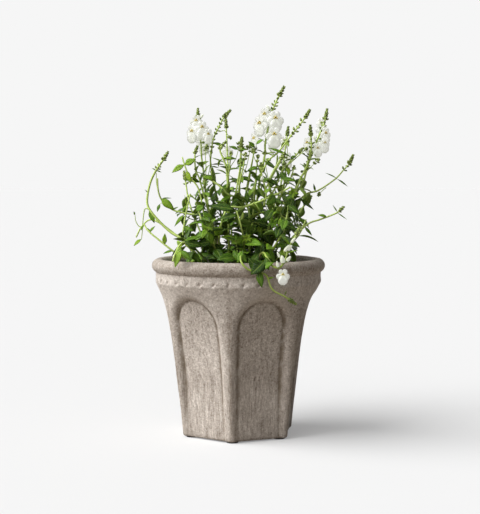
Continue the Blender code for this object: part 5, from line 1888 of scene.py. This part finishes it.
def grow_shoot(stem, place, turn):
    """A short side shoot with three pairs of leaves, as far as they find room."""
    foot, heading = stem.at(place), stem.heading(place)
    outward = outward_from(heading, LEAF_ASKEW, turn)
    length = pick.uniform(*SHOOT_LENGTHS) * MM
    points = [foot + outward * length * out + (heading * 0.6 + UPWARD * 0.4) * length * up
              for out, up in SHOOT_BOW]
    line = smooth_line(points, per_span=5)
    if not clear_of_pot(line[3:]):
        return 0
    draw_twig(stem.bm, points, SHOOT_WIDTH, shade=0.3)
    shoot = Stem("shoot", line, bm=stem.bm)
    grown = 0
    for number, (share, leaf_share) in enumerate(SHOOT_PAIRS):
        size = leaf_share * pick.uniform(0.8, 1.1)
        heading = shoot.heading(shoot.length * min(share, 0.9))
        grown += grow_pair(
            shoot.bm, shoot.at(shoot.length * share), heading, turn + number * math.pi / 2,
            SHOOT_LEAF_LONG * size, SHOOT_LEAF_WIDE * size,
        )
    return grown


grown = 0
for stem in stems.values():
    bare = 0 if stem.spike_bm else BUD_TIPS.get(stem.name, 0)
    end = min(stem.spike_at - max(bare, LEAST_BARE) * MM, stem.length * LEAFY_TO.get(stem.name, 1.0))
    place = FIRST_NODE
    turn = pick.uniform(0, 3)
    nodes = []
    while place < end:
        up = stem.at(place)[2] - POT_TOP
        nodes.append(place)
        grown += grow_pair(
            stem.bm, stem.at(place), stem.heading(place), turn,
            by_height(up, LEAF_LENGTHS), by_height(up, LEAF_WIDTHS),
        )
        if up < SHOOTS_BELOW and pick.random() < SHOOT_CHANCE:
            grown += grow_shoot(stem, place, turn + math.pi / 2)
        turn += math.pi / 2 + pick.uniform(-0.3, 0.3)
        place += by_height(up, NODE_STEPS) * pick.uniform(0.85, 1.15)
    stout = STOUT.get(stem.name, 1.0)
    draw_stem(stem, STEM_WIDTH * 1.1 * stout, STEM_WIDTH * 0.75 * stout, nodes)
print("grown leaves:", grown)

# %% [markdown]
# ## Putting the plant on the frame
# Every stem becomes one piece, and a flower spike is a piece of its own, as on the frame. They all ride on
# the body that lifts out, so the plant comes up with its root ball.

# %% Plant pieces
faces = 0
for stem in stems.values():
    piece = add_piece(
        f"{stem.name}_growth", stem.bm, PLANT_FINISHES, "planting", [f"stem_{stem.name}"]
    )
    faces += len(piece.data.polygons)
    if stem.spike_bm:
        spike = add_piece(
            f"{stem.name}_open", stem.spike_bm, PLANT_FINISHES, "planting", [f"spike_{stem.name}"]
        )
        faces += len(spike.data.polygons)
for template in (leaf, petal, green_bud, pale_bud, throat):
    bpy.data.meshes.remove(template.mesh)
print("plant faces:", faces)

# %% [markdown]
# ## Sizes and finish
# The sizes of the solids and of the dressed model are printed side by side.

# %% Finish
boxes = {"cad_box": cad_box, "visual_box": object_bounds()}
plain = {name: [[float(value) for value in corner] for corner in box] for name, box in boxes.items()}
print(plain)
